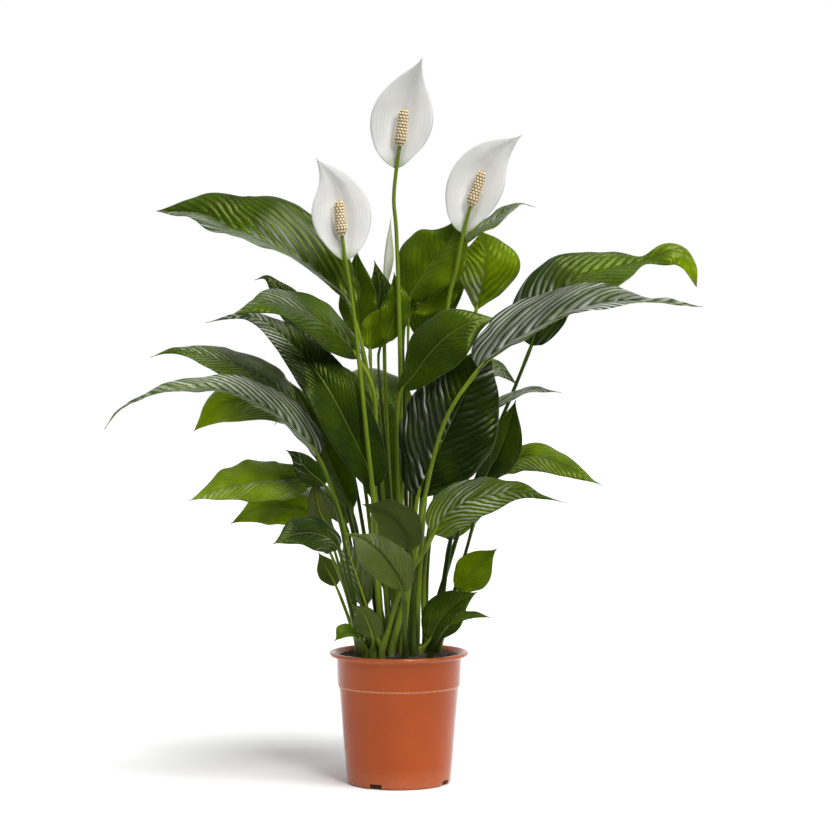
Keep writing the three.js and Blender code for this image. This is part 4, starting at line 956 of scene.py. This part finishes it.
# the blooms: the root, points up the stalk, its top, the tip of the spadix, the midrib of the spathe and
# its width, the way its inside looks and how far its halves cup (base, tip, in degrees), as in the part
bloomForm = {
    "stalk": {"radius": 2.3, "sides": 16, "tone": 0.9, "reach": 0.84},  # it has no pale joint at its top
    "hood": {"thickness": 0.5, "crease": 0.5, "rows": 44, "columns": 14, "veinStep": 10,
             "least": 0.9, "wave": (1.5, 1.5, 0.3), "shape": (0.42, 0.7)},
    "spadix": {"core": 7.1, "rings": 24, "sides": 24, "thinnest": 0.4,
               "seat": 0.5, "foot": 0.3, "swell": (6, 0.6), "tip": 0.18, "round": (0.8, 0.215)},
    "knobs": {"rows": 12, "around": 11, "fewest": 5, "first": 0.6, "reach": 0.97, "squash": 0.8,
              "radius": 2.15, "shrink": 0.28, "sunk": 0.9, "dot": 0.75, "dotSunk": 0.15},
}
blooms = [
    {"name": "bloom_left", "root": (-20, -31),
     "stem": [(-28, -38, 276), (-30, -46, 343), (-39, -50, 433), (-49, -46, 530), (-56, -42, 590),
              (-65, -40, 644)],
     "top": (-68, -40, 667), "spadix": (-72, -42, 709), "width": 74, "face": [(0.15, -1, 0.1)],
     "cup": (32, 12),
     "spathe": [(-64, -36.8, 637), (-67, -28, 668), (-72, -24, 704), (-81, -27, 734), (-100, -34, 761)]},
    {"name": "bloom_top", "root": (2, -8),
     "stem": [(3, -8, 273), (2, -10, 487), (0, -12, 590), (-3, -12, 675), (-6, -12, 712), (-3, -12, 748)],
     "top": (1, -14, 776), "spadix": (7, -16, 822), "width": 78, "face": [(-0.1, -1, 0.1)],
     "cup": (30, 12),
     "spathe": [(-3, -9.2, 750), (-1, -1, 778), (6, 2, 816), (15, -1, 852), (29, -8, 885)]},
    {"name": "bloom_right", "root": (22, -8),
     "stem": [(26, -4, 273), (41, 2, 444), (60, -4, 585), (70, -8, 627), (78, -10, 669)],
     "top": (87, -12, 704), "spadix": (102, -16, 747), "width": 74, "face": [(-0.3, -1, 0.2)],
     "cup": (30, 12),
     "spathe": [(78.5, -6.6, 671), (85, 1, 698), (99, 5, 738), (118, 1, 767), (151, -8, 792)]},
    {"name": "bloom_bud", "root": (-2, 42), "stem": [(-16, 60, 443), (-19, 80, 554)],
     "top": (-21, 86, 604), "width": 25, "face": [(0.9, -0.45, 0)], "cup": (50, 45),
     "spathe": [(-21, 86, 604.5), (-19, 86, 639), (-16, 86, 666), (-10, 84, 697)]},
]
hoodTints = {
    "white": (0.88, 0.875, 0.86),
    "cool": (0.80, 0.80, 0.79),
    "green": (0.42, 0.52, 0.20),  # at the foot and along the midrib outside
    "vein": (0.60, 0.61, 0.58),
    "glow": (0.86, 0.86, 0.78, 1),
}
hoodLook = {
    "scale": 30.0, "stray": 0.04, "lines": 9.0, "line": (0.40, 0.5),  # veins across each half
    "foot": (0.0, 0.12, 0.7, 0.0), "tip": (0.95, 1.0, 0.0, 0.4), "rim": (0.35, 1.0, 0.25, 0.9),
    "middle": (0.03, 0.12),
    "inside": {"line": 0.35, "middle": 0.08}, "outside": {"line": 0.5, "middle": 0.8},
    "grain": 0.12, "depth": 0.22, "rough": 0.46, "gloss": {"IOR": 1.42}, "through": 0.26,
}
spadixLook = {
    "rod": {"patch": (0.34, 0.19, 0.07), "colour": (0.20, 0.10, 0.035), "rough": 0.7},
    "bump": {"patch": (0.78, 0.64, 0.38), "colour": (0.90, 0.79, 0.55), "rough": 0.6},
    "dot": {"patch": (0.10, 0.045, 0.015), "colour": (0.22, 0.09, 0.025), "rough": 0.65},
    "scale": 160.0, "depth": 0.2, "strength": 0.8,
}


def makeHoodFinish(side):
    # Spread holds (share along the hood, share across it): the veins run lengthwise
    look = hoodLook
    made, tree = newMaterial("spathe_" + side)
    parts = axesOf(tree, uvOf(tree, "spread"))
    across = calc(tree, "ABSOLUTE", parts["Y"])
    noises = mottled(tree, look["scale"])
    lines = scaled(tree, noises["Cloud"], look["stray"], parts["Y"])
    line = ramp(tree, nearWhole(tree, times(tree, lines, look["lines"])), *look["line"])
    colour = blend(tree, noises["Cloud"], hoodTints["cool"], hoodTints["white"])
    colour = blend(tree, times(tree, line, look[side]["line"]), colour, hoodTints["vein"])
    foot = ramp(tree, parts["X"], *look["foot"])
    green = calc(tree, "MAXIMUM", foot, ramp(tree, parts["X"], *look["tip"]))
    middle = ramp(tree, across, *look["middle"], look[side]["middle"], 0.0)
    green = calc(tree, "MAXIMUM", green, middle)
    unripe = axesOf(tree, uvOf(tree, "tone"))["X"]  # a bud is green at its rims
    green = calc(tree, "MAXIMUM", green, times(tree, unripe, ramp(tree, across, *look["rim"])))
    colour = blend(tree, green, colour, hoodTints["green"])
    normal = relief(tree, scaled(tree, noises["Grain"], look["grain"], line), look["depth"])
    surface = coat(tree, colour, look["rough"], normal, look["gloss"])
    closeMaterial(tree, thinSheet(tree, look["through"], surface, hoodTints["glow"]))
    return made


def makeSpadixFinish(kind):
    look = spadixLook
    made, tree = newMaterial("spadix_" + kind)
    noises = mottled(tree, look["scale"])
    colour = blend(tree, noises["Cloud"], look[kind]["patch"], look[kind]["colour"])
    normal = relief(tree, noises["Grain"], look["depth"], look["strength"])
    closeMaterial(tree, coat(tree, colour, look[kind]["rough"], normal))
    return made


hoodFinishes = [makeHoodFinish(side) for side in ("inside", "outside")]
spadixFinishes = [makeSpadixFinish(kind) for kind in ("rod", "bump", "dot")]


def bloomStations(bloom, curve):
    form = bloomForm["stalk"]
    stations, shares = [], []
    for share, place, tangent in stalkPlaces(bloom["root"], curve, 1.0):
        up = Vector((1, 0, 0)).cross(tangent).normalized()
        across = tangent.cross(up).normalized()
        radius = stalkRadius(share, form["radius"])
        stations.append((place, across, up, radius, radius))
        shares.append(share * form["reach"])
    return stations, shares


def spadixRadius(share):
    form = bloomForm["spadix"]
    slope, power = form["swell"]
    roundFrom, roundOver = form["round"]
    past = max((share - roundFrom) / roundOver, 0.0)
    swell = form["foot"] + (1 - form["foot"]) * min(slope * share, 1) ** power
    return form["core"] * (swell * (1 - form["tip"] * share) * math.sqrt(max(1 - past * past, 0.0)))


def addDome(bm, place, outwards, radius, material):
    turn = outwards.to_track_quat("Z", "Y").to_matrix().to_4x4()
    flat = Matrix.Diagonal((1, 1, bloomForm["knobs"]["squash"], 1))
    where = Matrix.Translation(place * mm) @ turn @ flat
    made = bmesh.ops.create_uvsphere(bm, u_segments=8, v_segments=5, radius=radius * mm, matrix=where)
    paint(made["verts"], material)


def buildSpadix(bloom):
    form = bloomForm["spadix"]
    knobs = bloomForm["knobs"]
    axis = (Vector(bloom["spadix"]) - Vector(bloom["top"])).normalized()
    foot = Vector(bloom["top"]) + axis * form["seat"]
    length = (Vector(bloom["spadix"]) - foot).length
    side = axis.cross(Vector((0, 1, 0))).normalized()
    up = side.cross(axis).normalized()
    shares = [i / form["rings"] for i in range(form["rings"] + 1)]
    stations = []
    for share in shares:
        radius = max(spadixRadius(share), form["thinnest"])
        stations.append((foot + axis * length * share, side, up, radius, radius))
    bm = newShell()
    addTube(bm, stations, shares, form["sides"])
    for row in range(knobs["rows"]):
        share = (row + knobs["first"]) / knobs["rows"] * knobs["reach"]
        middle = foot + axis * length * share
        radius = spadixRadius(share)
        knob = knobs["radius"] * (1 - knobs["shrink"] + knobs["shrink"] * radius / form["core"])
        count = max(round(knobs["around"] * radius / form["core"]), knobs["fewest"])
        for place in range(count * 2):
            # a knob, then the gap beside it, which has its dark dot in every second row
            angle = (place / 2 + 0.5 * (row % 2)) / count * 2 * math.pi
            outwards = side * math.cos(angle) + up * math.sin(angle)
            if place % 2 == 0:
                addDome(bm, middle + outwards * (radius - knobs["sunk"]), outwards, knob, 1)
            elif row % 2 == 0:
                addDome(bm, middle + outwards * (radius - knobs["dotSunk"]), outwards, knobs["dot"], 2)
    piece = newPiece(bloom["name"] + "_spadix", bm, spadixFinishes)


def buildBloom(bloom):
    bm = newShell()
    stations, shares = bloomStations(bloom, stalkCurve(bloom["root"], [*bloom["stem"], bloom["top"]]))
    addTube(bm, stations, shares, bloomForm["stalk"]["sides"], shade=bloomForm["stalk"]["tone"])
    stalk = newPiece(bloom["name"] + "_stalk", bm, [stalkFinish])

    hood = bloomForm["hood"]
    unripe = 0 if "spadix" in bloom else 1
    sheet = {**bloom, **hood, "folds": bloom["cup"], "rippled": False, "tone": (unripe, unripe),
             "sheen": (0, 0), "lean": 1}
    blade = Blade(Curve(bloom["spathe"]), 0.0, sheet, hood["crease"], hood["veinStep"])
    bm = newShell()
    addBlade(bm, blade, hood["rows"], hood["columns"], hood["thickness"])
    spathe = newPiece(bloom["name"] + "_spathe", bm, hoodFinishes)
    if "spadix" in bloom:
        buildSpadix(bloom)


for bloom in blooms:
    buildBloom(bloom)
print("blooms built:", len(blooms))

# the pot
potForm = {
    "sides": 160, "sharp": 40,
    "step": 119.3,
    # (radius, height) from the middle of the base, up the outside, over the lip and down the inside
    "outside": [(0, 0), (58.5, 0), (60.2, 0.15), (61.7, 0.75), (62.75, 1.7), (63.3, 2.9), (63.6, 4.2),
                (73.4, 116.9), (73.8, 118.1), (74.6, 118.75), (75.1, 119.5), (75.35, 120.8), (76.55, 152.6),
                (76.9, 154.2), (77.8, 155.3), (79.4, 155.7), (81.6, 155.75)],
    "lip": [(83.4, 156.0), (84.5, 156.9), (85.0, 158.2), (84.9, 159.4), (84.2, 160.4), (83.0, 160.9),
            (81.4, 160.95), (79.8, 160.4), (78.4, 159.2), (77.2, 157.4), (76.0, 155.6)],
    "inside": [(74.8, 153.2), (74.4, 150.0), (61.5, 3.4), (60.9, 2.7), (60.0, 2.5), (0, 2.5)],
    # at is how far out the middle of a notch lies; the angles are in degrees
    "notch": {"count": 4, "first": -116, "at": 64.5, "width": 16, "height": 6.5, "depth": 9,
              "corner": 1.6, "segments": 3},
}
potTints = {
    "body": (0.325, 0.048, 0.005),
    "worn": (0.40, 0.070, 0.011),
    # pale dust, and also the colour of the painted highlight along the step
    "dustAndHighlight": (0.52, 0.24, 0.13),
}
potLook = {
    "scale": 14.0, "worn": 0.45, "rough": (0.3, 0.75, 0.10, 0.16),
    "bands": (6.0, 6.0, 190.0), "bandDetail": 2.0,  # faint marks of the mould round the wall
    "low": (0.0, 0.03, 0.45, 0.0), "high": (0.150, 0.156, 0.0, 0.3),  # dust at the base and under the lip
    "stepHighlight": (0.0004, 0.0016, 1.3, 0.0),  # painted highlight: a pale line along the step, where its edge catches the light
    "grain": 0.25, "depth": 0.025, "strength": 0.6,
    "gloss": {"IOR": 1.46, "Specular Tint": (1, 0.66, 0.46, 1)},
}


def makePotFinish():
    look = potLook
    made, tree = newMaterial("pot_plastic")
    place = node(tree, "TexCoord").outputs["Object"]
    above = axesOf(tree, place)["Z"]
    noises = mottled(tree, look["scale"], place)
    colour = blend(tree, times(tree, noises["Cloud"], look["worn"]), potTints["body"], potTints["worn"])
    dustAndHighlight = calc(tree, "MAXIMUM", ramp(tree, above, *look["low"]), ramp(tree, above, *look["high"]))
    fromStep = calc(tree, "ABSOLUTE", calc(tree, "SUBTRACT", above, potForm["step"] * mm))
    # painted highlight: a pale line along the step, laid in with the dust
    dustAndHighlight = calc(tree, "MAXIMUM", dustAndHighlight, ramp(tree, fromStep, *look["stepHighlight"]))
    colour = blend(tree, times(tree, dustAndHighlight, noises["Grain"]), colour, potTints["dustAndHighlight"])
    bands = node(tree, "Mapping", {"Vector": place, "Scale": look["bands"]}).outputs[0]
    bands = softNoise(tree, bands, 1.0, look["bandDetail"])
    height = scaled(tree, noises["Grain"], look["grain"], bands)
    normal = relief(tree, height, look["depth"], look["strength"])
    rough = ramp(tree, noises["Grain"], *look["rough"])
    closeMaterial(tree, coat(tree, colour, rough, normal, look["gloss"]))
    return made


def spun(points, sides):
    # a profile turned all the way round, with its poles and seam closed
    bm = bmesh.new()
    verts = [bm.verts.new((r * mm, 0, z * mm)) for r, z in points]
    edges = [bm.edges.new(pair) for pair in zip(verts, verts[1:])]
    bmesh.ops.spin(bm, geom=verts + edges, axis=(0, 0, 1), cent=(0, 0, 0), angle=2 * math.pi,
                   steps=sides, use_merge=True)
    bmesh.ops.remove_doubles(bm, verts=bm.verts, dist=1e-6)
    bmesh.ops.recalc_face_normals(bm, faces=bm.faces)
    return bm


def cutNotches(pot):
    notch = potForm["notch"]
    size = Matrix.Diagonal((notch["depth"] * 2 * mm, notch["width"] * mm, notch["height"] * 2 * mm, 1))
    out = Matrix.Translation((notch["at"] * mm, 0, 0))
    bm = bmesh.new()
    for i in range(notch["count"]):
        turn = Matrix.Rotation(math.radians(notch["first"] + 360 / notch["count"] * i), 4, "Z")
        box = bmesh.ops.create_cube(bm, size=1, matrix=turn @ out @ size)
        edges = list({edge for vert in box["verts"] for edge in vert.link_edges})
        bmesh.ops.bevel(bm, geom=edges, offset=notch["corner"] * mm, offset_type="OFFSET", affect="EDGES",
                        segments=notch["segments"], profile=0.5, material=-1)
    mesh = bpy.data.meshes.new("notches")
    bm.to_mesh(mesh)
    bm.free()
    cutter = linkNew(mesh, "notches")
    cut = pot.modifiers.new("notches", "BOOLEAN")
    cut.operation = "DIFFERENCE"
    cut.solver = "EXACT"
    cut.object = cutter
    shape = bpy.data.meshes.new_from_object(pot.evaluated_get(bpy.context.evaluated_depsgraph_get()))
    pot.modifiers.clear()
    pot.data = shape
    bpy.data.objects.remove(cutter)


def buildPot():
    bm = spun(potForm["outside"] + potForm["lip"] + potForm["inside"], potForm["sides"])
    pot = newPiece("pot", bm, [makePotFinish()])
    cutNotches(pot)
    pot.data.set_sharp_from_angle(angle=math.radians(potForm["sharp"]))


buildPot()
print("pot built")

# the soil
soilForm = {
    "edge": 155.5, "crown": 7, "lump": 1.6,  # as in the part: height at the rim, and of the mound
    "base": 2.8, "inside": 61.2, "innerTop": 74.0,
    "clear": (0.3, 0.05),  # kept from the pot's wall at the base and at the top
    "drop": 2,  # the wall of the soil ends this much below the edge of its top
    "rings": 46, "sides": 96,
    "clod": 1.5, "clodScale": 0.16,  # height of the small clods, and how close they lie
}
chipForm = {
    "count": 420, "seed": 11, "gritEvery": 14,
    "inset": 1.5, "reach": 0.96,  # how far they stay from the pot's wall
    "bark": (0.9, 3.4), "grit": (0.6, 1.3), "wide": (0.35, 0.9), "high": (0.25, 0.6),
    "sunk": (-0.8, 0.6), "turn": 6.28, "tilt": 0.35, "uneven": 0.22,
}
soilLook = {
    "wet": (0.010, 0.006, 0.004),
    "dry": (0.060, 0.036, 0.022),
    "bark": (0.115, 0.062, 0.034),
    "pale": (0.46, 0.42, 0.36),
    "rough": 0.88, "depth": 1.2,
}


def soilHeight(x, y, edge):
    # the part's own low mound and lumps, with small clods added
    reach = min(math.hypot(x, y) / edge, 1)
    lumps = math.sin(x * 0.21 + 1.3) * math.cos(y * 0.17) + 0.6 * math.sin(x * 0.09 - y * 0.13)
    clods = noise.fractal(Vector((x, y, 3)) * soilForm["clodScale"], 1.0, 2.0, 3)
    mound = soilForm["crown"] * (1 - reach ** 3) + soilForm["lump"] * lumps * (1 - reach ** 6)
    return soilForm["edge"] + mound + soilForm["clod"] * clods * (1 - reach ** 12)


def makeSoilFinish(name, dark, light, scale):
    made, tree = newMaterial(name)
    noises = mottled(tree, scale)
    colour = blend(tree, noises["Cloud"], soilLook[dark], soilLook[light])
    normal = relief(tree, noises["Grain"], soilLook["depth"])
    closeMaterial(tree, coat(tree, colour, soilLook["rough"], normal))
    return made


def addChip(bm, draw, edge, kind):
    form = chipForm
    angle = draw.uniform(0, 2 * math.pi)
    reach = edge * math.sqrt(draw.random()) * form["reach"]
    x, y = reach * math.cos(angle), reach * math.sin(angle)
    place = Vector((x, y, soilHeight(x, y, edge) + draw.uniform(*form["sunk"]))) * mm
    size = draw.uniform(*form[kind])
    flat = Matrix.Diagonal((1, draw.uniform(*form["wide"]), draw.uniform(*form["high"]), 1))
    turn = Matrix.Rotation(draw.uniform(0, form["turn"]), 4, "Z")
    for axis in ("X", "Y"):
        turn = turn @ Matrix.Rotation(draw.gauss(0, form["tilt"]), 4, axis)
    where = Matrix.Translation(place) @ turn @ flat
    made = bmesh.ops.create_icosphere(bm, subdivisions=1, radius=size * mm, matrix=where)
    for vert in made["verts"]:
        vert.co += Vector([draw.uniform(-form["uneven"], form["uneven"]) * size * mm for _ in range(3)])
    paint(made["verts"], 2 if kind == "grit" else 1)


def buildSoil():
    form = soilForm
    edge, rim = form["innerTop"], form["edge"]
    lowClear, highClear = form["clear"]
    points = [(0, form["base"]), (form["inside"] - lowClear, form["base"])]
    points += [(edge - highClear, rim - form["drop"])]
    points += [(edge * (1 - i / form["rings"]), rim) for i in range(form["rings"] + 1)]
    bm = spun(points, form["sides"])
    for vert in bm.verts:
        x, y, z = vert.co / mm
        if z > rim - form["drop"] / 2:
            vert.co.z = soilHeight(x, y, edge) * mm
    draw = random.Random(chipForm["seed"])
    for i in range(chipForm["count"]):
        addChip(bm, draw, edge - chipForm["inset"], "bark" if i % chipForm["gritEvery"] else "grit")
    finishes = [makeSoilFinish("soil_peat", "wet", "dry", 90.0),
                makeSoilFinish("soil_bark", "dry", "bark", 120.0),
                makeSoilFinish("soil_grit", "bark", "pale", 160.0)]
    soil = newPiece("soil", bm, finishes)


buildSoil()
print("soil built")

# how large the part and the dressed part are
boxes = {"cad": cadBox, "visual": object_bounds()}
{name: [list(corner) for corner in box] for name, box in boxes.items()}
